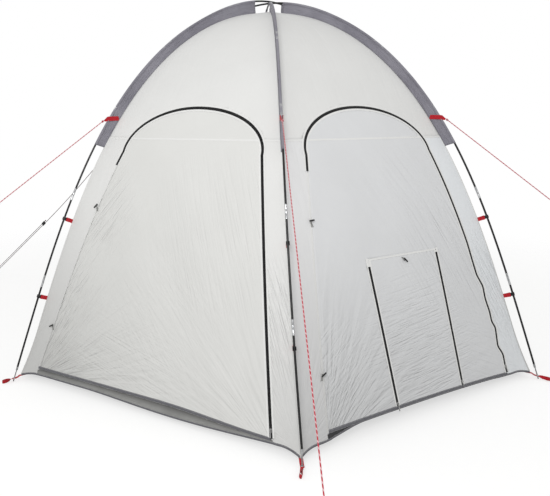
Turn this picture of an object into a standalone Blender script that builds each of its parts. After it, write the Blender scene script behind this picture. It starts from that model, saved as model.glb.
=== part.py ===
"""Hexagonal dome tent that stands over a round garden pool.

Metres, +Z up. The origin is on the ground under the crown. Corner 0 points along -Y and the
corners count anticlockwise seen from above. Panel k is the side between corner k and corner k + 1.
Three long jointed poles run from corner to opposite corner over the crown. The canopy hangs inside
them from six sewn sleeves and twelve clips, and two of its sides have a door with an arched zip.
"""

from math import atan
from math import cos
from math import pi
from math import radians
from math import sin
from math import sqrt
from math import tan

import bmesh
import bpy
import numpy as np
from mathutils import Matrix
from mathutils import Vector

CORNER_NAMES = ("front", "right_front", "right_back", "back", "left_back", "left_front")
PANEL_NAMES = ("front_right", "right", "back_right", "back_left", "left", "front_left")
CORNERS = len(CORNER_NAMES)
CORNER_STEP = 2 * pi / CORNERS
HALF_STEP = CORNER_STEP / 2

# Frame
FOOT_RADIUS = 1.850
FOOT_LEAN = radians(20.0)
BEND_POWER = 2.66
ROD_DIAMETER = 0.0095
TIP_DIAMETER = 0.0065
TIP_LENGTH = 0.086
POLE_SECTIONS = 11
KNOT_SPACING = 0.17
FERRULE_DIAMETER = 0.0120
FERRULE_LENGTH = 0.075
CROWN_CLEARANCE = 0.0012
CROWN_LIFT_START = 0.80
FRONT_SWAY = (0.033, -0.111, -0.264)
SWAY_START = 0.100

# Canopy
RIDGE_GAP = 0.055
CLOTH = 0.0015
FIT = 0.0003
HEM_HEIGHT = 0.048
HEM_WIDTH = 0.022
HEM_THICKNESS = 0.0035
CORNER_DROP = 0.016
CORNER_FLARE = 0.030
FLARE_REACH = 0.100
FLARE_HEIGHT = 0.300
SEAM_HEIGHT = 1.445
SEAM_GAP = 0.0005
ROOF_ROWS = 10
FOLD_DEPTH = 0.005
FOLD_COUNT = 3.0
FOLD_SLANT = 0.9
FOLD_EDGE = 0.72
FOLD_LOW = 0.18
FOLD_HIGH = 1.40

# Sleeves and guy loops
SLEEVE_BELOW_SEAM = 0.0665
SLEEVE_CROWN_GAP = 0.110
SLEEVE_RADIUS = 0.0084
SLEEVE_BORE = 0.0070
SLEEVE_EDGE = 0.0012
GUY_ABOVE_SEAM = 0.1045
LOOP_WIDTH = 0.020
LOOP_CLOTH = 0.0014
LOOP_REACH = 0.034
LOOP_END = 0.0045
LOOP_EYE = 0.0026
LOOP_DROP = radians(15.0)

# Doors
DOOR_PANELS = (0, 5)
FLAP_PANEL = 0
HINGE_INSETS = {0: (0.177, 0.158), 5: (0.104, 0.178)}
ZIP_INSETS = {0: (0.186, 0.166), 5: (0.151, 0.121)}
ZIP_GAP = 0.014
HINGE_FIT = 0.0006
DOOR_BOTTOM = 0.090
SILL_GAP = 0.007
ARCH_SPRING = 1.370
ARCH_RISE = 0.240
ZIP_END = 1.290
BINDING_WIDTH = 0.024
DOOR_SWING_TOP = ZIP_END
FLAP_LEFT = -0.218
FLAP_RIGHT = 0.288
FLAP_TOP = 0.822

# Zips, sliders and pullers
TAPE = 0.0010
CHAIN = 0.0032
CHAIN_SHARE = 0.44
SLIDER_WIDTH = 0.0124
SLIDER_LENGTH = 0.020
SLIDER_PLATE = 0.0015
SLIDER_SIDE_FIT = 0.0009
SLIDER_STAND = 0.004
EAR_THICKNESS = 0.0014
EAR_HEIGHT = 0.0050
EAR_LENGTH = 0.0060
PIN_RADIUS = 0.0010
PIN_HEIGHT = 0.0034
PULLER_WIDTH = 0.0052
PULLER_RING = 0.0026
PULLER_THICKNESS = 0.0016
PULLER_LENGTH = 0.034

# Toggles
TOGGLE_HEIGHTS = (1.050, 0.345)
TOGGLE_TURNS = {(5, "upper"): 40.0, (5, "lower"): 60.0, (0, "upper"): 86.0, (0, "lower"): 65.0}
FLAP_TOGGLE_TURN = -42.0
TOGGLE_INSET = 0.010
TOGGLE_LENGTH = 0.032
TOGGLE_RADIUS = 0.0042
TOGGLE_STAND = 0.014
STALK_RADIUS = 0.0018
FLAP_TOGGLE_DROP = 0.028

# Clips
CLIP_ARCS = {"lower": 0.546, "upper": 1.043}
CLIP_WIDTH = 0.019
CLIP_WALL = 0.0034
CLIP_FIT = 0.0004
CLIP_STRAP = 0.0020
CLIP_MOUTH = radians(42.0)

# Foot webbing
WEBBING_WIDTH = 0.020
WEBBING_THICKNESS = 0.0020
WEBBING_INNER = 0.030
EYELET_HEIGHT = 0.020
EYELET_RADIUS = 0.0085
EYELET_LENGTH = 0.0050
TAIL_LENGTH = 0.070

# Guy ropes: corner, heading off the corner's own, fall per metre outwards, reach of the straight run
ROPE_DIAMETER = 0.005
ROPE_RUNS = {"front": (0, radians(-0.6), 0.75, 2.72), "right_front": (1, 0.0, 0.76, 1.86),
             "left_front": (5, 0.0, 0.71, 1.90)}
ROPE_STRAIGHT_POINTS = 14
EYE_POINTS = ((0.0, 0.0), (0.020, 0.004), (0.045, 0.015), (0.068, 0.018), (0.086, 0.009),
              (0.090, -0.006), (0.078, -0.019), (0.054, -0.020), (0.028, -0.012), (0.010, -0.0085))
EYE_STEPS = 3
BACK_ROPE_CORNER = 4
BACK_ROPE_FALL = 0.762
BACK_ROPE_GROUND = 0.030
BACK_ROPE_POINTS = 16
RUNNER_RADIUS = 2.290
RUNNER_HEIGHT = 0.603
RUNNER_LENGTH = 0.040
RUNNER_WIDTH = 0.030
RUNNER_THICKNESS = 0.0095
STRAND_SPACING = 0.014
RUNNER_FIT = 0.0004
RUNNER_TAIL = 0.018

TUBE_SIDES = 8
POLE_TABLE_STEPS = 800
UP = Vector((0.0, 0.0, 1.0))


def clear_scene():
    """Empty the file of objects before the tent is built."""
    for item in list(bpy.data.objects):
        bpy.data.objects.remove(item, do_unlink=True)


def new_collection(name):
    """Make a collection in the scene."""
    group = bpy.data.collections.new(name)
    bpy.context.scene.collection.children.link(group)
    return group


def linear(value):
    """Turn one sRGB channel into a linear value."""
    if value <= 0.04045:
        return value / 12.92
    return ((value + 0.055) / 1.055) ** 2.4


def finish(name, colour, roughness, metallic=0.0):
    """Make one Principled material from an sRGB hex colour."""
    made = bpy.data.materials.new(name)
    made.use_nodes = True
    shader = made.node_tree.nodes["Principled BSDF"]
    channels = [linear(int(colour[i:i + 2], 16) / 255) for i in (0, 2, 4)]
    shader.inputs["Base Color"].default_value = (*channels, 1.0)
    shader.inputs["Roughness"].default_value = roughness
    shader.inputs["Metallic"].default_value = metallic
    return made


clear_scene()
TENT = new_collection("pool_enclosure_tent")
CUTTERS = new_collection("tent_cutters")
CANVAS = finish("white_polyester", "DEDEDB", 0.75)
SLEEVE_CLOTH = finish("grey_sleeve_polyester", "8A8891", 0.80)
ZIP_BLACK = finish("black_zip", "161617", 0.55)
SLIDER_METAL = finish("zinc_slider", "B9BABA", 0.35, 1.0)
ROD_BLACK = finish("black_fibreglass", "121213", 0.40)
CLIP_PLASTIC = finish("black_acetal", "1B1B1D", 0.45)
TOGGLE_PLASTIC = finish("dark_toggle", "2A2A2C", 0.45)
RED_WEBBING = finish("red_webbing", "B81F2A", 0.80)
ROPE_RED = finish("red_white_rope", "C2707C", 0.80)


# Pole curve: the lean grows from the foot's lean to level at the crown.
SHARES = np.linspace(0.0, 1.0, POLE_TABLE_STEPS + 1)
LEANS = FOOT_LEAN + (pi / 2 - FOOT_LEAN) * SHARES ** BEND_POWER
MIDDLE_LEANS = (LEANS[1:] + LEANS[:-1]) / 2
REACHES = np.concatenate([[0.0], np.cumsum(np.sin(MIDDLE_LEANS)) / POLE_TABLE_STEPS])
RISES = np.concatenate([[0.0], np.cumsum(np.cos(MIDDLE_LEANS)) / POLE_TABLE_STEPS])
HALF_POLE = FOOT_RADIUS / REACHES[-1]
ARCS = SHARES * HALF_POLE
POLE_RADII = FOOT_RADIUS - HALF_POLE * REACHES
POLE_HEIGHTS = HALF_POLE * RISES
RIDGE_RADII = POLE_RADII - RIDGE_GAP * np.cos(LEANS)
RIDGE_HEIGHTS = POLE_HEIGHTS - RIDGE_GAP * np.sin(LEANS)


def polar(azimuth, radius, height):
    """Point at a radius from the axis. Azimuth 0 is -Y and it grows towards +X."""
    return Vector((sin(azimuth) * radius, -cos(azimuth) * radius, height))


def lean_at(arc):
    """Lean of the pole from upright at a distance from its foot."""
    return float(np.interp(arc, ARCS, LEANS))


def crown_lift(corner, arc):
    """Height by which this corner's pole is lifted to pass over the poles below it at the crown."""
    level = corner % (CORNERS // 2)
    share = min(max((arc / HALF_POLE - CROWN_LIFT_START) / (1 - CROWN_LIFT_START), 0.0), 1.0)
    return level * (ROD_DIAMETER + CROWN_CLEARANCE) * share * share * (3 - 2 * share)


def sway(corner, arc):
    """Sideways set of the front pole, which the taut cloth pulls out of its plane."""
    if corner % CORNERS or arc > HALF_POLE:
        return Vector((0.0, 0.0, 0.0))
    share = max(arc, SWAY_START) / HALF_POLE
    base, slope, bend = FRONT_SWAY
    return Vector(((1 - share) ** 2 * (base + slope * share + bend * share * share), 0.0, 0.0))


def pole_point(corner, arc):
    """Centre of the pole at a distance from this corner's foot, past the crown too."""
    shift = sway(corner, arc)
    side = 1.0
    if arc > HALF_POLE:
        arc = 2 * HALF_POLE - arc
        side = -1.0
    radius = float(np.interp(arc, ARCS, POLE_RADII))
    height = float(np.interp(arc, ARCS, POLE_HEIGHTS)) + crown_lift(corner, arc)
    if arc < 0.0:
        radius = FOOT_RADIUS - arc * sin(FOOT_LEAN)
        height = arc * cos(FOOT_LEAN)
    return polar(corner * CORNER_STEP, side * radius, height) + shift


def ridge_point(corner, arc, outwards=0.0):
    """Point on the canopy's ridge, inside the pole, moved out by a distance along its normal."""
    lean = lean_at(arc)
    radius = float(np.interp(arc, ARCS, RIDGE_RADII)) + outwards * cos(lean)
    height = float(np.interp(arc, ARCS, RIDGE_HEIGHTS)) + outwards * sin(lean)
    return polar(corner * CORNER_STEP, radius, height) + sway(corner, arc)


def ridge_radius(height):
    """Radius of the canopy's corner at a height."""
    return float(np.interp(height, RIDGE_HEIGHTS, RIDGE_RADII))


def panel_axes(panel):
    """Outward and sideways unit vectors of a panel, seen from outside left to right."""
    middle = (panel + 0.5) * CORNER_STEP
    return Vector((sin(middle), -cos(middle), 0.0)), Vector((cos(middle), sin(middle), 0.0))


def panel_normal(panel, height):
    """Outward normal of a panel at a height."""
    outward, _ = panel_axes(panel)
    lean = float(np.interp(height, RIDGE_HEIGHTS, LEANS))
    slope = atan(cos(HALF_STEP) * tan(min(lean, radians(89.0))))
    return outward * cos(slope) + UP * sin(slope)


def fade(value, low, high):
    """One between low and high, falling smoothly to nothing at both."""
    share = min(max((value - low) / (high - low), 0.0), 1.0)
    return (4 * share * (1 - share)) ** 2


def fold(panel, across, height):
    """Depth of the cloth's slanting tension folds. They stay off the zips and the flap."""
    low = FLAP_TOP if panel == FLAP_PANEL else FOLD_LOW
    window = max(0.0, 1 - (2 * across / FOLD_EDGE) ** 2) * fade(height, low, FOLD_HIGH)
    return FOLD_DEPTH * window * sin(2 * pi * (FOLD_COUNT * across + FOLD_SLANT * height))


def panel_point(panel, sideways, height):
    """Point on the inside of a panel's cloth: taut between two ridges, flared at its feet."""
    outward, side = panel_axes(panel)
    radius = ridge_radius(height)
    depth = radius * cos(HALF_STEP) + fold(panel, sideways / radius, height)
    point = outward * depth + side * sideways + UP * height
    from_ridge = max(0.0, 1 - (radius * sin(HALF_STEP) - abs(sideways)) / FLARE_REACH)
    from_ground = max(0.0, 1 - height / FLARE_HEIGHT)
    corner = panel if sideways < 0 else panel + 1
    flare = polar(corner * CORNER_STEP, CORNER_FLARE * (from_ridge * from_ground) ** 2, 0.0)
    arc = float(np.interp(height, RIDGE_HEIGHTS, ARCS))
    share = 0.5 + sideways / (2 * radius * sin(HALF_STEP))
    return point + flare + sway(panel, arc) * (1 - share) + sway(panel + 1, arc) * share


def new_object(name, mesh, material=None, collection=None):
    """Put a mesh in the scene under a name."""
    made = bpy.data.objects.new(name, mesh)
    (collection or TENT).objects.link(made)
    if material is not None and not mesh.materials:
        mesh.materials.append(material)
    return made


def hide_cutter(cutter):
    """Mark an object as a tool that only shapes others."""
    cutter.hide_render = True
    cutter.display_type = "WIRE"


def mesh_from(bm, name):
    """Close a bmesh into a mesh with merged points and faces that look out."""
    bmesh.ops.remove_doubles(bm, verts=bm.verts, dist=1e-6)
    bmesh.ops.recalc_face_normals(bm, faces=bm.faces)
    mesh = bpy.data.meshes.new(name)
    bm.to_mesh(mesh)
    bm.free()
    return mesh


def cloth(name, columns, rows, place, thickness, offset, material=None, collection=None):
    """Grid of cloth shaped by place(column, row) and thickened."""
    bm = bmesh.new()
    bmesh.ops.create_grid(bm, x_segments=columns, y_segments=rows, size=0.5)
    for vert in bm.verts:
        vert.co = place(round((vert.co.x + 0.5) * columns), round((vert.co.y + 0.5) * rows))
    bmesh.ops.remove_doubles(bm, verts=bm.verts, dist=1e-6)
    mesh = bpy.data.meshes.new(name)
    bm.to_mesh(mesh)
    bm.free()
    made = new_object(name, mesh, material, collection)
    thicken = made.modifiers.new("thickness", "SOLIDIFY")
    thicken.thickness = thickness
    thicken.offset = offset
    return made


def thick_edge(made, top, thickness):
    """Make the band of a cloth below a height as thick as its folded binding."""
    band = made.vertex_groups.new(name="binding")
    band.add([v.index for v in made.data.vertices if v.co.z < top], 1.0, "REPLACE")
    solid = made.modifiers["thickness"]
    solid.thickness = thickness
    solid.vertex_group = band.name
    solid.thickness_vertex_group = CLOTH / thickness


def cut(made, cutter, operation="DIFFERENCE"):
    """Cut a piece with a cutter, or join it with one."""
    hide_cutter(cutter)
    step = made.modifiers.new(cutter.name, "BOOLEAN")
    step.operation = operation
    step.object = cutter
    step.solver = "EXACT"


def loft(name, rings, material=None, collection=None, cyclic=False):
    """Skin through rings of equally many points, capped at both ends or closed on itself."""
    bm = bmesh.new()
    loops = [[bm.verts.new(point) for point in ring] for ring in rings]
    count = len(loops[0])
    pairs = list(zip(loops, loops[1:] + loops[:1])) if cyclic else list(zip(loops, loops[1:]))
    for low, high in pairs:
        for i in range(count):
            j = (i + 1) % count
            bm.faces.new((low[i], low[j], high[j], high[i]))
    if not cyclic:
        bm.faces.new(loops[0])
        bm.faces.new(loops[-1])
    return new_object(name, mesh_from(bm, name), material, collection)


def slab(name, outlines, thickness, material=None, collection=None):
    """Flat outline, with any holes, given half its thickness to each side."""
    curve = bpy.data.curves.new(name, "CURVE")
    curve.dimensions = "2D"
    curve.fill_mode = "BOTH"
    curve.extrude = thickness / 2
    for outline in outlines:
        spline = curve.splines.new("POLY")
        spline.points.add(len(outline) - 1)
        for point, (x, y) in zip(spline.points, outline):
            point.co = (x, y, 0.0, 1.0)
        spline.use_cyclic_u = True
    return curve_to_mesh(name, curve, material, collection)


def curve_to_mesh(name, curve, material=None, collection=None):
    """Turn a curve into a closed mesh object."""
    guide = new_object(name + "_guide", curve, None, CUTTERS)
    graph = bpy.context.evaluated_depsgraph_get()
    mesh = bpy.data.meshes.new_from_object(guide.evaluated_get(graph))
    bpy.data.objects.remove(guide, do_unlink=True)
    bm = bmesh.new()
    bm.from_mesh(mesh)
    bmesh.ops.remove_doubles(bm, verts=bm.verts, dist=1e-6)
    bmesh.ops.recalc_face_normals(bm, faces=bm.faces)
    bm.to_mesh(mesh)
    bm.free()
    mesh.name = name
    return new_object(name, mesh, material, collection)


def tube(name, points, radii, sides, material=None, collection=None):
    """Round bar through points, each with its own radius."""
    curve = bpy.data.curves.new(name, "CURVE")
    curve.dimensions = "3D"
    curve.bevel_depth = 1.0
    curve.bevel_resolution = (sides - 4) // 2
    curve.use_fill_caps = True
    spline = curve.splines.new("POLY")
    spline.points.add(len(points) - 1)
    for target, point, radius in zip(spline.points, points, radii):
        target.co = (*point, 1.0)
        target.radius = radius
    return curve_to_mesh(name, curve, material, collection)


def cylinder(name, start, end, radius, sides=16, material=None, collection=None):
    """Straight round bar between two points."""
    start = Vector(start)
    line = Vector(end) - start
    bm = bmesh.new()
    turn = line.to_track_quat("Z", "Y").to_matrix().to_4x4()
    place = Matrix.Translation(start + line / 2) @ turn
    bmesh.ops.create_cone(bm, cap_ends=True, segments=sides, radius1=radius, radius2=radius,
                          depth=line.length, matrix=place)
    return new_object(name, mesh_from(bm, name), material, collection)


def baked_mesh(made):
    """Mesh of an object with its modifiers applied. The object and its tools are removed."""
    graph = bpy.context.evaluated_depsgraph_get()
    mesh = bpy.data.meshes.new_from_object(made.evaluated_get(graph))
    tools = [step.object for step in made.modifiers if step.type == "BOOLEAN"]
    for item in [made, *tools]:
        bpy.data.objects.remove(item, do_unlink=True)
    return mesh


def frame_matrix(x_axis, y_axis, z_axis, origin):
    """Matrix that places a piece by its three axes and its origin."""
    turn = Matrix((x_axis, y_axis, z_axis)).transposed().to_4x4()
    return Matrix.Translation(origin) @ turn


def ground_cut(made):
    """Cut a piece off level with the ground."""
    bm = bmesh.new()
    bm.from_mesh(made.data)
    everything = bm.verts[:] + bm.edges[:] + bm.faces[:]
    bmesh.ops.bisect_plane(bm, geom=everything, plane_co=(0, 0, 0), plane_no=UP, clear_inner=True)
    bmesh.ops.holes_fill(bm, edges=[edge for edge in bm.edges if edge.is_boundary])
    bmesh.ops.recalc_face_normals(bm, faces=bm.faces)
    bm.to_mesh(made.data)
    bm.free()


def smooth_sides(made, angle=35.0):
    """Shade a round piece smooth and keep its corners sharp."""
    made.data.shade_smooth()
    made.data.set_sharp_from_angle(angle=radians(angle))


def move_origin(made, point):
    """Put a moving piece's origin on its joint's axis, with the piece where it was."""
    made.data.transform(Matrix.Translation(-point))
    made.location = point


def carry(parent, *children):
    """Parent pieces to the piece that carries them, where they are."""
    bpy.context.view_layer.update()
    for child in children:
        child.parent = parent
        child.matrix_parent_inverse = parent.matrix_world.inverted()


def pole_knots():
    """Distances from the foot to the crown at which the bent pole is measured out."""
    fixed = [0.0, TIP_LENGTH, *CLIP_ARCS.values(), sleeve_start(), *roof_arcs()]
    sleeve_end = HALF_POLE - SLEEVE_CROWN_GAP
    fixed = sorted([arc for arc in fixed if abs(arc - sleeve_end) > 0.02] + [sleeve_end])
    knots = []
    for low, high in zip(fixed, fixed[1:]):
        parts = max(1, round((high - low) / KNOT_SPACING))
        knots += list(np.linspace(low, high, parts + 1)[:-1])
    return [*knots, HALF_POLE]


def far_pole_point(corner, arc):
    """Centre of the pole, carried on past either foot in a straight line."""
    if arc > 2 * HALF_POLE:
        return pole_point(corner + CORNERS // 2, 2 * HALF_POLE - arc)
    return pole_point(corner, arc)


def pole_path(corner, arcs):
    """Points of the pole on the straight stretches between its knots, and past its feet."""
    half = pole_knots()
    knots = [-0.02, *half, *[2 * HALF_POLE - arc for arc in reversed(half[:-1])], 2 * HALF_POLE + 0.02]
    points = np.array([far_pole_point(corner, arc) for arc in knots])
    return [Vector([float(np.interp(arc, knots, points[:, axis])) for axis in range(3)]) for arc in arcs]


def pole_stations():
    """Distances from one foot to the other, each with the pole's radius there."""
    rod = ROD_DIAMETER / 2
    ferrule = FERRULE_DIAMETER / 2
    step = 0.0002
    far = 2 * HALF_POLE
    length = (far - 2 * TIP_LENGTH) / POLE_SECTIONS
    middles = [TIP_LENGTH + length * i for i in range(1, POLE_SECTIONS)]
    half = pole_knots()
    knots = [*half, *[far - arc for arc in reversed(half[:-1])]]
    stations = [(-0.004, TIP_DIAMETER / 2), (TIP_LENGTH - step, TIP_DIAMETER / 2), (TIP_LENGTH, rod)]
    for middle in middles:
        low = middle - FERRULE_LENGTH / 2
        high = middle + FERRULE_LENGTH / 2
        stations += [(low - step, rod), (low, ferrule), (high, ferrule), (high + step, rod)]
    for arc in knots:
        if not TIP_LENGTH + 0.01 < arc < far - TIP_LENGTH - 0.01:
            continue
        from_ferrule = min(abs(arc - middle) for middle in middles) - FERRULE_LENGTH / 2
        if abs(from_ferrule) > 0.004:
            stations.append((arc, ferrule if from_ferrule < 0 else rod))
    stations += [(far - TIP_LENGTH, rod), (far - TIP_LENGTH + step, TIP_DIAMETER / 2)]
    stations.append((far + 0.004, TIP_DIAMETER / 2))
    return sorted(stations)


def build_poles():
    """Three jointed fibreglass poles with steel ferrules and steel tips."""
    names = ("pole_front_to_back", "pole_right_front_to_left_back", "pole_right_back_to_left_front")
    stations = pole_stations()
    for corner, name in enumerate(names):
        points = pole_path(corner, [arc for arc, _ in stations])
        pole = tube(name, points, [radius for _, radius in stations], 6, ROD_BLACK)
        ground_cut(pole)
        smooth_sides(pole)


def sleeve_ring(corner, arc, hollow):
    """Ring of eight points round the pole: the sleeve's skin, or its bore."""
    centre = pole_point(corner, arc)
    seat = ridge_point(corner, arc, CLOTH + FIT)
    inward = (seat - centre).normalized()
    side = polar(corner * CORNER_STEP + pi / 2, 1.0, 0.0)

    def around(radius, degrees):
        angle = radians(degrees)
        return centre + inward * radius * cos(angle) + side * radius * sin(angle)

    if hollow:
        return [around(SLEEVE_BORE, a) for a in (22, 67, 112, 157, -157, -112, -67, -22)]
    skin = [around(SLEEVE_RADIUS, a) for a in (55, 105, 155, -155, -105, -55)]
    return [seat + side * SLEEVE_EDGE, *skin, seat - side * SLEEVE_EDGE]


def loop_frame(corner):
    """Frame of the guy loop: X outwards and a little down, Y across it, Z up its width."""
    radial = polar(corner * CORNER_STEP, 1.0, 0.0)
    along = radial * cos(LOOP_DROP) - UP * sin(LOOP_DROP)
    across = UP.cross(radial)
    knots = pole_knots()
    arc = guy_arc()
    low = max(knot for knot in knots if knot <= arc)
    high = min(knot for knot in knots if knot > arc)
    centre = pole_point(corner, low).lerp(pole_point(corner, high), (arc - low) / (high - low))
    return frame_matrix(along, across, along.cross(across), centre)


def guy_loop(corner):
    """Bight of webbing sewn round the sleeve from ridge to pole, with an eye for the rope."""
    web = (RIDGE_GAP - 2 * CLOTH) / cos(lean_at(guy_arc()) - LOOP_DROP) * 0.9
    wide = SLEEVE_RADIUS + LOOP_CLOTH
    tip = [(LOOP_REACH - LOOP_END + LOOP_END * cos(a), LOOP_END * sin(a)) for a in np.linspace(-pi / 2, pi / 2, 5)]
    outline = [(-web, -0.0040), (-0.012, -wide), (0.010, -wide), *tip, (0.010, wide), (-0.012, wide), (-web, 0.0040)]
    eye = [(0.016, -LOOP_EYE), (LOOP_REACH - 0.005, -LOOP_EYE), (LOOP_REACH - 0.003, 0.0),
           (LOOP_REACH - 0.005, LOOP_EYE), (0.016, LOOP_EYE)]
    loop = slab("guy_loop", [outline, eye], LOOP_WIDTH, None, CUTTERS)
    loop.matrix_world = loop_frame(corner)
    return loop


def roof_arcs():
    """Distances along the ridge of the roof's rows, from the seam to the crown."""
    start = float(np.interp(SEAM_HEIGHT + SEAM_GAP / 2, RIDGE_HEIGHTS, ARCS))
    return list(np.linspace(start, HALF_POLE, ROOF_ROWS + 1))


def sleeve_start():
    """Distance along the ridge to the sleeve's lower end, a little below the roof's seam."""
    return roof_arcs()[0] - SLEEVE_BELOW_SEAM


def guy_arc():
    """Distance along the ridge to the guy loop, a little above the roof's seam."""
    return roof_arcs()[0] + GUY_ABOVE_SEAM


def build_sleeves():
    """Six sewn pole sleeves, each with a guy loop, from above the upper clip to near the crown."""
    last = HALF_POLE - SLEEVE_CROWN_GAP
    arcs = [sleeve_start(), *[arc for arc in roof_arcs() if arc < last - 0.02], last]
    for corner, name in enumerate(CORNER_NAMES):
        skins = [sleeve_ring(corner, arc, False) for arc in arcs]
        sleeve = loft(name + "_sleeve", skins, SLEEVE_CLOTH)
        cut(sleeve, guy_loop(corner), "UNION")
        bores = [sleeve_ring(corner, arc, True) for arc in arcs]
        first = [point * 1.2 - other * 0.2 for point, other in zip(bores[0], bores[1])]
        after = [point * 1.4 - other * 0.4 for point, other in zip(bores[-1], bores[-2])]
        cut(sleeve, loft("sleeve_bore", [first, *bores[1:-1], after], None, CUTTERS))


def door_edge(panel, side, height, growth=0.0):
    """Half width of a door at a height, on its hinge or zip side: it follows the ridge, then the arch."""
    low, high = (HINGE_INSETS if side == "hinge" else ZIP_INSETS)[panel]
    share = min(max((height - DOOR_BOTTOM) / (ARCH_SPRING - DOOR_BOTTOM), 0.0), 1.0)
    half = ridge_radius(min(height, ARCH_SPRING)) * sin(HALF_STEP) - low - (high - low) * share + growth
    if height <= ARCH_SPRING:
        return half
    rise = (height - ARCH_SPRING) / (ARCH_RISE + growth)
    return half * sqrt(max(0.0, 1 - rise * rise))


def side_heights():
    """Heights that the door, the doorway and its zip share below the arch."""
    low = np.linspace(DOOR_BOTTOM + BINDING_WIDTH, ZIP_END, 8)
    return [DOOR_BOTTOM, *low, ARCH_SPRING]


def arch_angles():
    """Angles that the door, the doorway and its zip share round a quarter of the arch."""
    return [pi / 2 * i / 7 for i in range(1, 8)]


def outline_rows(growth):
    """Heights of the rows of the door's grid, with the outline grown by a distance."""
    arch = [ARCH_SPRING + (ARCH_RISE + growth) * sin(angle) for angle in arch_angles()]
    return side_heights() + arch


def door_place(panel, rows, columns, left, right):
    """Function that lays a grid over the stretch between two edges of a panel."""

    def place(column, row):
        height = rows[row]
        share = column / columns
        sideways = left(height) * (1 - share) + right(height) * share
        return panel_point(panel, sideways, height)

    return place


def build_walls():
    """Six wall panels from hem to seam, two of them with a doorway over a low sill."""
    rows = [0.0, HEM_WIDTH, HEM_WIDTH + 0.001] + list(np.linspace(HEM_WIDTH + 0.16, 1.0, 7))
    columns = 12
    for panel, name in enumerate(PANEL_NAMES):

        def place(column, row):
            share = column / columns
            top = SEAM_HEIGHT - SEAM_GAP / 2
            edge = min(share, 1 - share) * 2 * ridge_radius(HEM_HEIGHT) * sin(HALF_STEP)
            ear = max(0.0, 1 - edge / FLARE_REACH) ** 2
            low = HEM_HEIGHT - CORNER_DROP * ear
            if row < 3:
                height = low + rows[row]
            else:
                height = low + (top - low) * rows[row]
            half = ridge_radius(height) * sin(HALF_STEP) - FIT
            return panel_point(panel, half * edge_spacing(2 * share - 1), height)

        wall = cloth(name + "_wall", columns, len(rows) - 1, place, CLOTH, 1.0, CANVAS)
        thick_edge(wall, HEM_HEIGHT + HEM_WIDTH + 0.0005, HEM_THICKNESS)
        if panel in DOOR_PANELS:
            cut(wall, doorway_cutter(panel, "wall"))


def edge_spacing(share):
    """Spread a grid's columns so that they lie closer together at both edges."""
    return sin(share * pi / 2)


def doorway_cutter(panel, use):
    """Thick plug with the doorway's outline: the door grown by the zip's width."""
    columns = 8
    rows = outline_rows(ZIP_GAP)
    rows[0] = DOOR_BOTTOM - SILL_GAP
    rows.insert(rows.index(ZIP_END), ZIP_END - FIT)

    def left(height):
        growth = ZIP_GAP if height > ZIP_END - FIT / 2 else HINGE_FIT
        return -door_edge(panel, "hinge", height, growth)

    def right(height):
        return door_edge(panel, "zip", height, ZIP_GAP)

    name = "doorway_" + PANEL_NAMES[panel] + "_" + use
    place = door_place(panel, rows, columns, left, right)
    return cloth(name, columns, len(rows) - 1, place, 0.06, 0.0, None, CUTTERS)


def build_roof():
    """Roof canopy of six sewn gores from the seam to the crown, notched over both doorways."""
    columns = 6
    arcs = roof_arcs()
    bm = bmesh.new()
    for panel in range(CORNERS):
        grid = bmesh.ops.create_grid(bm, x_segments=columns, y_segments=len(arcs) - 1, size=0.5)
        for vert in grid["verts"]:
            share = vert.co.x + 0.5
            arc = arcs[round((vert.co.y + 0.5) * (len(arcs) - 1))]
            near = ridge_point(panel, arc)
            far = ridge_point(panel + 1, arc)
            vert.co = near.lerp(far, share)
    bmesh.ops.remove_doubles(bm, verts=bm.verts, dist=1e-5)
    mesh = bpy.data.meshes.new("roof")
    bm.to_mesh(mesh)
    bm.free()
    roof = new_object("roof_canopy", mesh, CANVAS)
    thicken = roof.modifiers.new("thickness", "SOLIDIFY")
    thicken.thickness = CLOTH
    thicken.offset = 1.0
    for panel in DOOR_PANELS:
        cut(roof, doorway_cutter(panel, "roof"))


def zip_ring(panel, inner, outer):
    """Section of a closed zip between two points given as sideways distance and height."""
    start = panel_point(panel, *inner)
    end = panel_point(panel, *outer)
    normal = panel_normal(panel, (inner[1] + outer[1]) / 2)
    low = (1 - CHAIN_SHARE) / 2
    section = ((0, 0), (1, 0), (1, TAPE), (1 - low, TAPE), (1 - low, CHAIN), (low, CHAIN),
               (low, TAPE), (0, TAPE))
    return [start.lerp(end, share) + normal * height for share, height in section]


def door_zip_route(panel, growth):
    """Door's outline grown by a distance, from the zip's foot over the arch to its end stop."""
    base_right = door_edge(panel, "zip", ARCH_SPRING, growth)
    base_left = door_edge(panel, "hinge", ARCH_SPRING, growth)
    rise = ARCH_RISE + growth
    heights = [DOOR_BOTTOM + FIT, *side_heights()[1:]]
    route = [(door_edge(panel, "zip", z, growth), z) for z in heights]
    for angle in arch_angles():
        route.append((base_right * cos(angle), ARCH_SPRING + rise * sin(angle)))
    for angle in reversed(arch_angles()[:-1]):
        route.append((-base_left * cos(angle), ARCH_SPRING + rise * sin(angle)))
    route.append((-base_left, ARCH_SPRING))
    route.append((-door_edge(panel, "hinge", ZIP_END, growth), ZIP_END + FIT))
    return route


def build_door_zip(panel):
    """Closed zip that fills the gap between the door and its doorway."""
    routes = zip(door_zip_route(panel, FIT), door_zip_route(panel, ZIP_GAP - FIT))
    rings = [zip_ring(panel, inner, outer) for inner, outer in routes]
    return loft(PANEL_NAMES[panel] + "_door_zip", rings, ZIP_BLACK)


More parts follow.
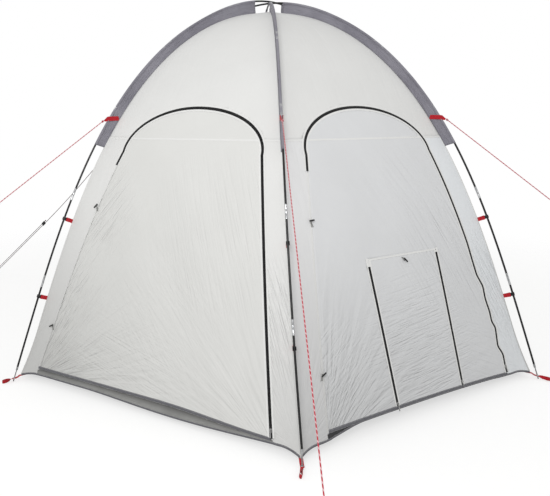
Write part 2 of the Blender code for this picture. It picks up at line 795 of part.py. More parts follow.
def hinge_line(panel):
    """Axis of a door's swing: parallel to its sewn edge and outside every point of it."""

    def edge(height):
        return panel_point(panel, -door_edge(panel, "hinge", height), height)

    low = edge(DOOR_BOTTOM)
    axis = (edge(DOOR_SWING_TOP) - low).normalized()
    _, side = panel_axes(panel)
    normal = side.cross(axis).normalized()
    samples = np.linspace(DOOR_BOTTOM, DOOR_SWING_TOP, 40)
    proud = max((edge(height) - low).dot(normal) for height in samples)
    return low + normal * (proud + HEM_THICKNESS), axis


def build_door(panel):
    """Arched door of cloth with a bound lower edge, hung from its left edge."""
    columns = 10
    rows = outline_rows(0.0)
    rows.insert(2, DOOR_BOTTOM + BINDING_WIDTH + 0.001)

    def left(height):
        return -door_edge(panel, "hinge", height)

    def right(height):
        return door_edge(panel, "zip", height)

    name = PANEL_NAMES[panel] + "_door"
    place = door_place(panel, rows, columns, left, right)
    door = cloth(name, columns, len(rows) - 1, place, CLOTH, 1.0, CANVAS)
    thick_edge(door, DOOR_BOTTOM + BINDING_WIDTH + 0.0005, HEM_THICKNESS)
    if panel == FLAP_PANEL:
        cut(door, flap_cutter())
    point, _ = hinge_line(panel)
    move_origin(door, point)
    return door


def flap_rows(low, high):
    """Heights that the flap, its opening and its zips share."""
    return [low, *np.linspace(DOOR_BOTTOM + BINDING_WIDTH, FLAP_TOP - 0.1, 5), high]


def flap_cutter():
    """Thick plug with the outline of the opening behind the flap."""
    rows = flap_rows(DOOR_BOTTOM - 0.05, FLAP_TOP + FIT)
    columns = 4
    place = door_place(FLAP_PANEL, rows, columns, lambda z: FLAP_LEFT - ZIP_GAP,
                       lambda z: FLAP_RIGHT + ZIP_GAP)
    return cloth("flap_opening", columns, len(rows) - 1, place, 0.06, 0.0, None, CUTTERS)


def build_flap():
    """Small pass-through flap in one door, hung from its top seam."""
    rows = flap_rows(DOOR_BOTTOM, FLAP_TOP)
    rows.insert(2, DOOR_BOTTOM + BINDING_WIDTH + 0.001)
    columns = 6
    place = door_place(FLAP_PANEL, rows, columns, lambda z: FLAP_LEFT, lambda z: FLAP_RIGHT)
    flap = cloth("pass_through_flap", columns, len(rows) - 1, place, CLOTH, 1.0, CANVAS)
    thick_edge(flap, DOOR_BOTTOM + BINDING_WIDTH + 0.0005, HEM_THICKNESS)
    point, _ = flap_line()
    move_origin(flap, point)
    return flap


def flap_line():
    """Axis of the flap's swing along its top seam, on the outer face of the cloth."""
    middle = (FLAP_LEFT + FLAP_RIGHT) / 2
    _, side = panel_axes(FLAP_PANEL)
    lift = panel_normal(FLAP_PANEL, FLAP_TOP) * HEM_THICKNESS
    return panel_point(FLAP_PANEL, middle, FLAP_TOP) + lift, -side


def build_flap_zips():
    """Two straight zips down the sides of the flap."""
    rows = flap_rows(DOOR_BOTTOM + FIT, FLAP_TOP - FIT)
    zips = []
    for name, edge, way in (("left", FLAP_LEFT, -1), ("right", FLAP_RIGHT, 1)):
        near = edge + way * FIT
        far = edge + way * (ZIP_GAP - FIT)
        rings = [zip_ring(FLAP_PANEL, (near, z), (far, z)) for z in rows]
        zips.append(loft("flap_zip_" + name, rings, ZIP_BLACK))
    return zips


def slider_frames():
    """Where each slider rests: name, panel, and its zip's middle line near the foot."""
    middle = ZIP_GAP / 2

    return (("front_left_door", 5, lambda z: door_edge(5, "zip", z, middle)),
            ("front_right_door", 0, lambda z: door_edge(0, "zip", z, middle)),
            ("flap_left", FLAP_PANEL, lambda z: FLAP_LEFT - middle),
            ("flap_right", FLAP_PANEL, lambda z: FLAP_RIGHT + middle))


def slider_matrix(panel, line):
    """Frame of a slider: X across the zip, Y up along it, Z out of the cloth."""
    height = DOOR_BOTTOM + SLIDER_STAND + SLIDER_LENGTH / 2
    step = SLIDER_LENGTH / 2
    low = panel_point(panel, line(height - step), height - step)
    high = panel_point(panel, line(height + step), height + step)
    along = (high - low).normalized()
    normal = panel_normal(panel, height)
    across = along.cross(normal).normalized()
    normal = across.cross(along).normalized()
    return frame_matrix(across, along, normal, (low + high) / 2)


def slider_mesh():
    """Zip slider: a saddle over the chain with two ears and a pin for the puller."""
    channel = CHAIN_SHARE * (ZIP_GAP - 2 * FIT) / 2 + SLIDER_SIDE_FIT
    half = SLIDER_WIDTH / 2
    foot = TAPE + FIT
    roof = CHAIN + FIT
    top = roof + SLIDER_PLATE
    section = ((-half, foot), (-channel, foot), (-channel, roof), (channel, roof), (channel, foot),
               (half, foot), (half, top), (-half, top))
    saddle = slab("slider", [section], SLIDER_LENGTH, SLIDER_METAL, CUTTERS)
    saddle.data.transform(Matrix.Rotation(pi / 2, 4, "X"))
    ear = [(-EAR_LENGTH / 2, top - FIT), (EAR_LENGTH / 2, top - FIT)]
    ear += [(EAR_LENGTH / 2 * cos(a), top + PIN_HEIGHT + (EAR_HEIGHT - PIN_HEIGHT) * sin(a))
            for a in np.linspace(0, pi, 7)]
    inner = PULLER_WIDTH / 2 + FIT
    for side in (-1, 1):
        lug = slab("slider_ear", [ear], EAR_THICKNESS, None, CUTTERS)
        middle = side * (inner + EAR_THICKNESS / 2)
        turn = frame_matrix(Vector((0, 1, 0)), Vector((0, 0, 1)), Vector((1, 0, 0)), Vector((middle, 0, 0)))
        lug.data.transform(turn)
        cut(saddle, lug, "UNION")
    reach = inner + EAR_THICKNESS / 2
    pin = cylinder("slider_pin", (-reach, 0, top + PIN_HEIGHT), (reach, 0, top + PIN_HEIGHT),
                   PIN_RADIUS, 8, None, CUTTERS)
    cut(saddle, pin, "UNION")
    return baked_mesh(saddle), top + PIN_HEIGHT


def puller_mesh():
    """Puller tab with an eye round the slider's pin, drawn about the pin's axis."""
    half = PULLER_THICKNESS / 2
    start = sqrt(PULLER_RING ** 2 - half ** 2)
    angle = atan(half / start)
    ring = [(PULLER_RING * cos(a), PULLER_RING * sin(a))
            for a in np.linspace(-pi + angle, pi - angle, 12)]
    tab = [(-PULLER_LENGTH, half), (-PULLER_LENGTH, -half)]
    eye = PIN_RADIUS + FIT
    hole = [(eye * cos(a), eye * sin(a)) for a in np.linspace(0, 2 * pi, 9)[:-1]]
    puller = slab("puller", [ring + tab, hole], PULLER_WIDTH, SLIDER_METAL, CUTTERS)
    turn = frame_matrix(Vector((0, 1, 0)), Vector((0, 0, 1)), Vector((1, 0, 0)), Vector((0, 0, 0)))
    puller.data.transform(turn)
    return baked_mesh(puller)


def build_sliders():
    """Slider and puller of each zip, at the zip's foot where it is closed."""
    slider_shape, pin_height = slider_mesh()
    puller_shape = puller_mesh()
    made = {}
    for name, panel, line in slider_frames():
        place = slider_matrix(panel, line)
        slider = new_object(name + "_slider", slider_shape)
        slider.matrix_world = place
        puller = new_object(name + "_puller", puller_shape)
        puller.matrix_world = place @ Matrix.Translation((0, 0, pin_height))
        carry(slider, puller)
        made[name] = slider
    return made


def toggle_mesh():
    """Toggle bar on a short stalk, drawn with the stalk's foot at the origin and the bar upright."""
    half = TOGGLE_LENGTH / 2
    rim = TOGGLE_RADIUS * 0.6
    points = [Vector((0, y, TOGGLE_STAND)) for y in (-half, -half + 0.002, half - 0.002, half)]
    bar = tube("toggle", points, [rim, TOGGLE_RADIUS, TOGGLE_RADIUS, rim], TUBE_SIDES,
               TOGGLE_PLASTIC, CUTTERS)
    stalk = cylinder("toggle_stalk", (0, 0, 0), (0, 0, TOGGLE_STAND), STALK_RADIUS, 8, None, CUTTERS)
    cut(bar, stalk, "UNION")
    return baked_mesh(bar)


def toggle_matrix(panel, sideways, height, turn):
    """Frame of a toggle on the outer face of the cloth: Z out of it, the bar turned from upright."""
    _, side = panel_axes(panel)
    normal = panel_normal(panel, height)
    foot = panel_point(panel, sideways, height) + normal * (CLOTH + FIT)
    return frame_matrix(side, normal.cross(side), normal, foot) @ Matrix.Rotation(-radians(turn), 4, "Z")


def build_toggles():
    """Two toggles beside each door's sewn edge and one at the top of the flap."""
    shape = toggle_mesh()
    for panel in DOOR_PANELS:
        for name, height in zip(("upper", "lower"), TOGGLE_HEIGHTS):
            sideways = -door_edge(panel, "hinge", height, TOGGLE_INSET)
            toggle = new_object(PANEL_NAMES[panel] + "_toggle_" + name, shape)
            toggle.matrix_world = toggle_matrix(panel, sideways, height, TOGGLE_TURNS[panel, name])
    toggle = new_object("flap_toggle", shape)
    middle = (FLAP_LEFT + FLAP_RIGHT) / 2
    toggle.matrix_world = toggle_matrix(FLAP_PANEL, middle, FLAP_TOP - FLAP_TOGGLE_DROP, FLAP_TOGGLE_TURN)
    return toggle


def clip_mesh():
    """Clip that hooks round the pole, with the strap that ties it to the canopy's ridge.

    X runs in from the pole's centre to the ridge and Z along the pole.
    """
    inner = ROD_DIAMETER / 2 + CLIP_FIT
    outer = inner + CLIP_WALL
    half = CLIP_STRAP / 2
    seat = RIDGE_GAP - CLOTH - FIT
    root = atan(half / outer)
    skin = [(outer * cos(a), outer * sin(a)) for a in np.linspace(root, pi - CLIP_MOUTH, 6)]
    bore = [(inner * cos(a), inner * sin(a)) for a in np.linspace(pi - CLIP_MOUTH, -pi + CLIP_MOUTH, 12)]
    back = [(x, -y) for x, y in reversed(skin)]
    outline = [(seat, -half), (seat, half), *skin, *bore, *back]
    clip = slab("clip", [outline], CLIP_WIDTH, CLIP_PLASTIC, CUTTERS)
    return baked_mesh(clip)


def build_clips():
    """Two clips on each leg, below its sleeve."""
    shape = clip_mesh()
    for corner, corner_name in enumerate(CORNER_NAMES):
        for name, arc in CLIP_ARCS.items():
            centre = pole_point(corner, arc)
            near = KNOT_SPACING / 2
            rod = (pole_point(corner, arc + near) - pole_point(corner, arc - near)).normalized()
            inward = ridge_point(corner, arc) - centre
            side = rod.cross(inward).normalized()
            clip = new_object(corner_name + "_clip_" + name, shape)
            clip.matrix_world = frame_matrix(side.cross(rod), side, rod, centre)


def webbing_mesh():
    """Foot webbing of corner 0: from under the canopy's corner, over the pole's tip, to a tail.

    Drawn with X outwards from the axis and Y up, and then stood up along -Y.
    """
    corner_height = HEM_HEIGHT - CORNER_DROP
    flare = CORNER_FLARE * (1 - corner_height / FLARE_HEIGHT) ** 2
    corner_radius = ridge_radius(corner_height) + flare
    tip_radius = FOOT_RADIUS - EYELET_HEIGHT * tan(FOOT_LEAN)
    half = WEBBING_THICKNESS / 2
    top = corner_height - FIT - half
    middle = ((corner_radius - WEBBING_INNER, top), (corner_radius + 0.004, top),
              (tip_radius - EYELET_RADIUS, EYELET_HEIGHT), (tip_radius + EYELET_RADIUS, EYELET_HEIGHT - 0.002),
              (tip_radius + 0.5 * TAIL_LENGTH, 0.007), (tip_radius + TAIL_LENGTH, half + 0.0005))
    upper = [(x, y + half) for x, y in middle]
    lower = [(x, y - half) for x, y in reversed(middle)]
    strap = slab("foot_webbing", [upper + lower], WEBBING_WIDTH, RED_WEBBING, CUTTERS)
    strap.data.transform(frame_matrix(Vector((0, -1, 0)), UP, Vector((-1, 0, 0)), Vector((0, 0, 0))))
    axis = Vector((0, sin(FOOT_LEAN), cos(FOOT_LEAN)))
    centre = Vector((0, -tip_radius, EYELET_HEIGHT))
    reach = axis * EYELET_LENGTH / 2
    collar = cylinder("eyelet", centre - reach, centre + reach, EYELET_RADIUS, 12, None, CUTTERS)
    cut(strap, collar, "UNION")
    bore = cylinder("eyelet_bore", centre - axis * 0.02, centre + axis * 0.02,
                    TIP_DIAMETER / 2 + FIT, 12, None, CUTTERS)
    cut(strap, bore)
    return baked_mesh(strap)


def build_webbings():
    """Red webbing with an eyelet at each of the six feet."""
    shape = webbing_mesh()
    for corner, name in enumerate(CORNER_NAMES):
        strap = new_object(name + "_foot_webbing", shape)
        strap.location = sway(corner, 0.0)
        strap.rotation_euler = (0.0, 0.0, corner * CORNER_STEP)


def smooth_route(points, steps):
    """Points along a smooth curve through the route's own points."""
    padded = [points[0] * 2 - points[1], *points, points[-1] * 2 - points[-2]]
    route = []
    for a, b, c, d in zip(padded, padded[1:], padded[2:], padded[3:]):
        for i in range(steps):
            t = i / steps
            route.append(0.5 * ((b * 2) + (c - a) * t + (a * 2 - b * 5 + c * 4 - d) * t * t
                                + (b * 3 - a - c * 3 + d) * t ** 3))
    route.append(points[-1])
    return route


def rope_start(corner, down):
    """Where a rope that runs off in a direction meets the end of its guy loop."""
    frame = loop_frame(corner)
    along = frame.col[0].to_3d()
    tilt = along.cross(down.normalized()).length
    return frame.translation + along * (LOOP_REACH + ROPE_DIAMETER / 2 * tilt + FIT)


def build_ropes():
    """Three guy ropes that end in a tied eye on their way to pegs outside the view."""
    radius = ROPE_DIAMETER / 2
    for name, (corner, heading, fall, reach) in ROPE_RUNS.items():
        radial = polar(corner * CORNER_STEP + heading, 1.0, 0.0)
        down = (radial - UP * fall).normalized()
        start = rope_start(corner, down)
        across = (UP - down * UP.dot(down)).normalized()
        length = (reach - start.dot(radial)) / down.dot(radial)
        steps = range(ROPE_STRAIGHT_POINTS)
        straight = [start + down * length * i / ROPE_STRAIGHT_POINTS for i in steps]
        end = start + down * length
        eye = [end + down * x + across * y for x, y in EYE_POINTS]
        route = straight + smooth_route(eye, EYE_STEPS)
        tube(name + "_guy_rope", route, [radius] * len(route), TUBE_SIDES, ROPE_RED)


def build_back_rope():
    """Guy rope that sags to its runner, then runs straight round the peg's place and back to it."""
    radial = polar(BACK_ROPE_CORNER * CORNER_STEP, 1.0, 0.0)
    down = (radial - UP * BACK_ROPE_FALL).normalized()
    start = rope_start(BACK_ROPE_CORNER, radial - UP)
    across = (UP - down * UP.dot(down)).normalized()
    turn = STRAND_SPACING / 2
    reach = RUNNER_RADIUS - start.dot(radial)
    first_fall = 2 * (start.z - RUNNER_HEIGHT) / reach - BACK_ROPE_FALL
    sag = []
    for i in range(BACK_ROPE_POINTS):
        share = i / BACK_ROPE_POINTS
        drop = first_fall * share + (BACK_ROPE_FALL - first_fall) * share * share / 2
        sag.append(start + (radial * share - UP * drop) * reach)
    runner = radial * RUNNER_RADIUS + UP * RUNNER_HEIGHT
    length = (RUNNER_HEIGHT - BACK_ROPE_GROUND) / -down.z
    end = runner + down * length
    bend = [end + down * 0.022 * sin(a) + across * (turn - (turn + 0.006 * sin(a)) * cos(a))
            for a in np.linspace(0, pi, 9)]
    back = [end - down * t + across * STRAND_SPACING for t in np.linspace(0.02, length + RUNNER_LENGTH / 2 + RUNNER_TAIL, 8)]
    single = [runner - down * RUNNER_LENGTH, runner, *[runner + down * length * i / 8 for i in range(1, 8)]]
    route = sag[:-1] + single + bend + back
    radius = ROPE_DIAMETER / 2
    tube("left_back_guy_rope", route, [radius] * len(route), TUBE_SIDES, ROPE_RED)
    build_runner(runner + across * turn, down, across)


def build_runner(middle, down, across):
    """Black rope runner with a bore for each strand."""
    half = RUNNER_LENGTH / 2
    bore = ROPE_DIAMETER / 2 + RUNNER_FIT
    edge = RUNNER_THICKNESS / 2
    near = [(RUNNER_WIDTH / 2 - edge + edge * cos(a), edge * sin(a)) for a in np.linspace(-pi / 2, pi / 2, 7)]
    outline = near + [(-x, -y) for x, y in near]
    holes = [[(side * STRAND_SPACING / 2 + bore * cos(a), bore * sin(a)) for a in np.linspace(0, 2 * pi, 13)[:-1]]
             for side in (-1, 1)]
    runner = slab("guy_rope_runner", [outline, *holes], 2 * half, CLIP_PLASTIC)
    runner.matrix_world = frame_matrix(across, down.cross(across), down, middle)


def build():
    """Build the tent."""
    build_poles()
    build_sleeves()
    build_roof()
    build_walls()
    doors = {panel: build_door(panel) for panel in DOOR_PANELS}
    flap = build_flap()
    for panel in DOOR_PANELS:
        build_door_zip(panel)
    flap_zips = build_flap_zips()
    sliders = build_sliders()
    flap_toggle = build_toggles()
    build_clips()
    build_webbings()
    build_ropes()
    build_back_rope()
    carry(flap, flap_toggle)
    carry(doors[FLAP_PANEL], flap, *flap_zips, sliders["flap_left"], sliders["flap_right"])


build()
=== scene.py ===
from math import cos, dist, pi, radians, sin, tan

import bmesh
import bpy
import numpy as np
from mathutils import Matrix, Vector


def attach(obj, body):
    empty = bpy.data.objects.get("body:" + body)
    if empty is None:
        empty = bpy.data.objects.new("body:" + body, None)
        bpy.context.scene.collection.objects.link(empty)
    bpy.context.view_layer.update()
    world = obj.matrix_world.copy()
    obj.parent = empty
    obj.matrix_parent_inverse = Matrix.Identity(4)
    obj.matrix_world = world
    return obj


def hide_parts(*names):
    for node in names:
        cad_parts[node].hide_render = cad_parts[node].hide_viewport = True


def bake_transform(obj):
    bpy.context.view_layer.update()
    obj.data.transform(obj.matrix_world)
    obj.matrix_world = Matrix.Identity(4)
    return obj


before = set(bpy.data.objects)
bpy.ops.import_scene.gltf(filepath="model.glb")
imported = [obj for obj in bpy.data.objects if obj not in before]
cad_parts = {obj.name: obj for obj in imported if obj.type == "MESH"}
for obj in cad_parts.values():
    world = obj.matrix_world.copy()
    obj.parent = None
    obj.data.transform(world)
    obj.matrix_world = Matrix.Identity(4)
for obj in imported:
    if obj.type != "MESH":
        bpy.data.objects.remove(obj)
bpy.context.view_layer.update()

# The tent's own measures, in metres. Corner 0 points along -Y, corners count towards +X.
CORNER_NAMES = ("front", "right_front", "right_back", "back", "left_back", "left_front")
PANEL_NAMES = ("front_right", "right", "back_right", "back_left", "left", "front_left")
POLE_NAMES = ("pole_front_to_back", "pole_right_front_to_left_back", "pole_right_back_to_left_front")
STEP = pi / 3
HALF_STEP = STEP / 2
FOOT_RADIUS = 1.850
FOOT_LEAN = radians(20.0)
BEND_POWER = 2.66
ROD = 0.0115
TIP = 0.0065
TIP_LENGTH = 0.086
POLE_SECTIONS = 11
FERRULE = 0.0130
FERRULE_LENGTH = 0.075
CROWN_CLEARANCE = 0.0012
CROWN_LIFT_START = 0.80
FRONT_SWAY = (0.033, -0.111, -0.264)
SWAY_START = 0.100
RIDGE_GAP = 0.055
CLOTH = 0.0015
FIT = 0.0003
HEM_HEIGHT = 0.048
CORNER_DROP = 0.016
CORNER_FLARE = 0.030
FLARE_REACH = 0.100
FLARE_HEIGHT = 0.300
SEAM_HEIGHT = 1.445
SEAM_REACH = 0.006
FOLD_DEPTH = 0.005
FOLD_COUNT = 3.0
FOLD_SLANT = 0.9
FOLD_EDGE = 0.72
FOLD_LOW = 0.18
FOLD_HIGH = 1.40
SLEEVE_BELOW_SEAM = 0.0665
SLEEVE_CROWN_GAP = 0.110
SLEEVE_RADIUS = 0.0066
SLEEVE_TURNS = (55, 75, 95, 115, 135, 155, 180, 205, 225, 245, 265, 285, 305)
GUY_ABOVE_SEAM = 0.1045
LOOP_WIDTH = 0.026
LOOP_REACH = 0.034
LOOP_DROP = radians(15.0)
DOORS = {0: "front_right_door", 5: "front_left_door"}
HINGE_INSETS = {0: (0.177, 0.158), 5: (0.104, 0.178)}
ZIP_INSETS = {0: (0.186, 0.166), 5: (0.151, 0.121)}
ZIP_GAP = 0.014
INNER_TAPE = ZIP_GAP / 2 - 0.0004
OUTER_TAPE = ZIP_GAP / 2 + 0.0004
HINGE_FIT = 0.0006
DOOR_BOTTOM = 0.090
ARCH_SPRING = 1.370
ARCH_RISE = 0.240
ZIP_END = 1.290
ZIP_COVER = {5: -0.0012, 0: -0.0006, "flap": -0.0012}
HEM_THICKNESS = 0.0035
FLAP_PANEL = 0
FLAP_LEFT = -0.218
FLAP_RIGHT = 0.288
FLAP_TOP = 0.822
CLIP_ARCS = {"lower": 0.546, "upper": 1.043}
CLIP_WIDTH = 0.019
CLIP_STRAP = 0.024
TOGGLE_INSET = 0.010
EYELET_HEIGHT = 0.020
EYELET_RADIUS = 0.0085
TAIL_LENGTH = 0.070
WEBBING_WIDTH = 0.020
ROPE_DIAMETER = 0.005
ROPE_RUNS = {"front": (0, radians(-0.6), 0.75, 2.72), "right_front": (1, 0.0, 0.76, 1.86),
             "left_front": (5, 0.0, 0.71, 1.90)}
EYE_POINTS = ((0.0, 0.0), (0.020, 0.004), (0.045, 0.015), (0.068, 0.018), (0.086, 0.009),
              (0.090, -0.006), (0.078, -0.019), (0.054, -0.020), (0.028, -0.012), (0.010, -0.0085))
BACK_ROPE_CORNER = 4
BACK_ROPE_FALL = 0.762
BACK_ROPE_GROUND = 0.030
RUNNER_RADIUS = 2.290
RUNNER_HEIGHT = 0.603
RUNNER_LENGTH = 0.040
STRAND_SPACING = 0.014
RUNNER_TAIL = 0.018
TABLE_STEPS = 800
UP = Vector((0.0, 0.0, 1.0))

# The camera's place, its yaw, pitch and roll in degrees, and its lens and shift in pixels of the view.
CAMERA_PLACE = (-0.349, -4.157, 1.553)
CAMERA_ANGLES = (0.024, 12.64, -0.26)
FILM_WIDTH = 36.0
VIEW_WIDTH = 550.0
FOCAL_LENGTH = 572.5
VIEW_SHIFT = 56.7

# Light: how strong the surround is, the soft box in watts, and the floor's glow and where it thins out.
AMBIENT = 0.66
KEY_PLACE = (-1.35, -5.7, 3.7)
KEY_TARGET = (0, 0, 0.9)
KEY_SIZE = 2.0
KEY_POWER = 108.0
FLOOR_GLOW = 0.62
FLOOR_RINGS = (0.5, 3, 6, 10, 16.0)
FLOOR_FADE = (2.3, 5.5)

# The doors' lower edges, by panel, and the wall's lower edge between its feet.
DOOR_LOW = {5: 0.084, 0: 0.082}
DOOR_DROP = {5: 0.027, 0: 0.028}
LEFT_HEM_SAG = 0.017
SILL_RISE = 0.0125
OVERHANG = 0.0045
TAPE_BINDING = 0.014
EDGE_STEP = 0.012

# The lower half of the right door's zip is slack: how far it wanders sideways, by height.
SLACK = ((0.100, 0.0), (0.175, 0.011), (0.225, -0.014), (0.333, 0.013), (0.367, -0.004), (0.426, 0.004),
         (0.500, 0.0), (0.576, 0.013), (0.643, -0.010), (0.727, -0.007), (0.830, 0.0))

# The poles' curve: the lean grows from the foot's lean to level at the crown.
SHARES = np.linspace(0.0, 1.0, TABLE_STEPS + 1)
LEANS = FOOT_LEAN + (pi / 2 - FOOT_LEAN) * SHARES ** BEND_POWER
MIDDLES = (LEANS[1:] + LEANS[:-1]) / 2
REACHES = np.concatenate([[0.0], np.cumsum(np.sin(MIDDLES)) / TABLE_STEPS])
RISES = np.concatenate([[0.0], np.cumsum(np.cos(MIDDLES)) / TABLE_STEPS])
HALF_POLE = FOOT_RADIUS / REACHES[-1]
ARCS = SHARES * HALF_POLE
POLE_RADII = FOOT_RADIUS - HALF_POLE * REACHES
POLE_HEIGHTS = HALF_POLE * RISES
RIDGE_RADII = POLE_RADII - RIDGE_GAP * np.cos(LEANS)
RIDGE_HEIGHTS = POLE_HEIGHTS - RIDGE_GAP * np.sin(LEANS)


def arc_at(height):
    """Distance along the ridge at a height."""
    return np.interp(height, RIDGE_HEIGHTS, ARCS)


def height_at(arc):
    """Height of the ridge at a distance along it."""
    return np.interp(arc, ARCS, RIDGE_HEIGHTS)


SEAM_ARC = float(arc_at(SEAM_HEIGHT))
SLEEVE_START = SEAM_ARC - SLEEVE_BELOW_SEAM
GUY_ARC = SEAM_ARC + GUY_ABOVE_SEAM


def pair(u, a):
    """Line of points from two lists."""
    return np.stack(np.broadcast_arrays(np.asarray(u, float), np.asarray(a, float)), 1)


def polar(azimuth, radius, height):
    """Point at a radius from the tent's axis."""
    return Vector((sin(azimuth) * radius, -cos(azimuth) * radius, height))


def sway(corner, arc):
    """Sideways set of the front pole, which the taut cloth pulls out of its plane."""
    arc = np.asarray(arc, float)
    if corner % 6:
        return np.zeros_like(arc)
    share = np.maximum(arc, SWAY_START) / HALF_POLE
    base, slope, bend = FRONT_SWAY
    shift = (1 - share) ** 2 * (base + slope * share + bend * share * share)
    return np.where(arc > HALF_POLE, 0.0, shift)


def crown_lift(corner, arc):
    """Height by which this corner's pole passes over the poles below it at the crown."""
    share = min(max((arc / HALF_POLE - CROWN_LIFT_START) / (1 - CROWN_LIFT_START), 0.0), 1.0)
    return corner % 3 * (ROD + CROWN_CLEARANCE) * share * share * (3 - 2 * share)


def pole_point(corner, arc):
    """Centre of the pole at a distance from this corner's foot, past the crown too."""
    shift = Vector((float(sway(corner, arc)), 0.0, 0.0))
    side = 1.0
    if arc > HALF_POLE:
        arc = 2 * HALF_POLE - arc
        side = -1.0
    radius = float(np.interp(arc, ARCS, POLE_RADII))
    height = float(np.interp(arc, ARCS, POLE_HEIGHTS)) + crown_lift(corner, arc)
    if arc < 0.0:
        radius = FOOT_RADIUS - arc * sin(FOOT_LEAN)
        height = arc * cos(FOOT_LEAN)
    return polar(corner * STEP, side * radius, height) + shift


def ridge_point(corner, arc, outwards=0.0):
    """Point on the canopy's ridge, inside the pole, moved out along its normal."""
    lean = float(np.interp(arc, ARCS, LEANS))
    radius = float(np.interp(arc, ARCS, RIDGE_RADII)) + outwards * cos(lean)
    height = float(np.interp(arc, ARCS, RIDGE_HEIGHTS)) + outwards * sin(lean)
    return polar(corner * STEP, radius, height) + Vector((float(sway(corner, arc)), 0.0, 0.0))


def panel_axes(panel):
    """Outward and sideways unit vectors of a panel, seen from outside left to right."""
    middle = (panel + 0.5) * STEP
    return np.array((sin(middle), -cos(middle), 0.0)), np.array((cos(middle), sin(middle), 0.0))


def panel_normals(panel, arc):
    """Outward normals of a panel at distances along its ridges."""
    outward, _ = panel_axes(panel)
    lean = np.minimum(np.interp(arc, ARCS, LEANS), radians(89.0))
    slope = np.arctan(cos(HALF_STEP) * np.tan(lean))[..., None]
    return outward * np.cos(slope) + np.array(UP) * np.sin(slope)


def fold(panel, across, height):
    """Depth of the slanting tension folds of the hung cloth."""
    low = FLAP_TOP if panel == FLAP_PANEL else FOLD_LOW
    share = np.clip((height - low) / (FOLD_HIGH - low), 0.0, 1.0)
    window = np.maximum(0.0, 1 - (2 * across / FOLD_EDGE) ** 2) * (4 * share * (1 - share)) ** 2
    return FOLD_DEPTH * window * np.sin(2 * pi * (FOLD_COUNT * across + FOLD_SLANT * height))


def panel_surface(panel, sideways, arc, lift=0.0):
    """Points of a panel's cloth: taut between two ridges, flared at its feet."""
    sideways = np.asarray(sideways, float)
    arc = np.asarray(arc, float) + 0.0 * sideways
    outward, side = panel_axes(panel)
    radius = np.interp(arc, ARCS, RIDGE_RADII)
    height = np.interp(arc, ARCS, RIDGE_HEIGHTS)
    depth = radius * cos(HALF_STEP) + fold(panel, sideways / np.maximum(radius, 0.05), height)
    points = depth[..., None] * outward + sideways[..., None] * side + height[..., None] * np.array(UP)
    half = radius * sin(HALF_STEP)
    from_ridge = np.maximum(0.0, 1 - (half - np.abs(sideways)) / FLARE_REACH)
    from_ground = np.maximum(0.0, 1 - height / FLARE_HEIGHT)
    flare = CORNER_FLARE * (from_ridge * from_ground) ** 2
    corner = np.where(sideways < 0, panel, panel + 1) * STEP
    points[..., 0] += flare * np.sin(corner)
    points[..., 1] -= flare * np.cos(corner)
    share = 0.5 + sideways / np.maximum(2 * half, 1e-6)
    points[..., 0] += sway(panel, arc) * (1 - share) + sway(panel + 1, arc) * share
    return points + panel_normals(panel, arc) * np.asarray(lift)[..., None]


def half_width(arc):
    """Half of a panel's width at a distance along its ridges."""
    return np.interp(arc, ARCS, RIDGE_RADII) * sin(HALF_STEP)


LOW_ARC = float(arc_at(HEM_HEIGHT))
LOW_HALF = float(half_width(LOW_ARC))
SEAM_LINE = pair([-1.0, 1.0], SEAM_ARC)


def slack(height):
    """Sideways wander of the right door's zip at a height."""
    heights, shifts = zip(*SLACK)
    return sum(share * np.interp(np.asarray(height) + step, heights, shifts)
               for share, step in ((0.25, -0.012), (0.5, 0.0), (0.25, 0.012)))


def door_edge(panel, side, height, growth):
    """Half width of a door at a height, on its hinge or its zip side."""
    low, high = (HINGE_INSETS if side == "hinge" else ZIP_INSETS)[panel]
    share = np.clip((height - DOOR_BOTTOM) / (ARCH_SPRING - DOOR_BOTTOM), 0.0, 1.0)
    half = half_width(arc_at(np.minimum(height, ARCH_SPRING))) - low - (high - low) * share + growth
    if (panel, side) == (0, "zip"):
        half = half + slack(height)
    rise = np.clip((height - ARCH_SPRING) / (ARCH_RISE + growth), 0.0, 1.0)
    return half * np.sqrt(1 - rise * rise)


def hinge_side(panel, height, growth=0.0):
    """Place across a panel of its door's sewn edge."""
    return -door_edge(panel, "hinge", height, growth)


def zip_side(panel, height, growth=0.0):
    """Place across a panel of its door's zipped edge."""
    return door_edge(panel, "zip", height, growth)


DOOR_FEET = {panel: (float(hinge_side(panel, DOOR_BOTTOM)), float(zip_side(panel, DOOR_BOTTOM)))
             for panel in DOORS}


def smooth(share):
    """Ease a share from 0 to 1."""
    share = np.clip(share, 0.0, 1.0)
    return share * share * (3 - 2 * share)


def door_low(panel, u):
    """Height of a door's lower edge, which drops towards the foot of its zip."""
    u = np.asarray(u, float)
    if panel == 5:
        return DOOR_LOW[5] - DOOR_DROP[5] * smooth((u - 0.08) / 0.68)
    return DOOR_LOW[0] - DOOR_DROP[0] * np.clip((u + 0.708) / 1.407, 0, 1) ** 2.8


def hem_height(panel, u):
    """Height of a wall's lower edge: down at the feet, sagging or drawn up between them."""
    u = np.asarray(u, float)
    ear = np.maximum(0.0, 1 - (LOW_HALF - np.abs(u)) / FLARE_REACH) ** 2
    height = HEM_HEIGHT + 0.0 * u
    if panel == 5:
        height = height - LEFT_HEM_SAG * np.maximum(0.0, 1 - ((u - 0.22) / 0.65) ** 2) ** 2
    if panel == 0:
        pull = smooth((u + 0.76) / 0.30) * smooth((0.80 - u) / 0.25)
        height = height + (door_low(0, u) - 0.003 - height) * pull
    return height - CORNER_DROP * ear


def hem_arc(panel, u):
    """Distance along the ridge of a wall's lower edge."""
    return arc_at(hem_height(panel, u))


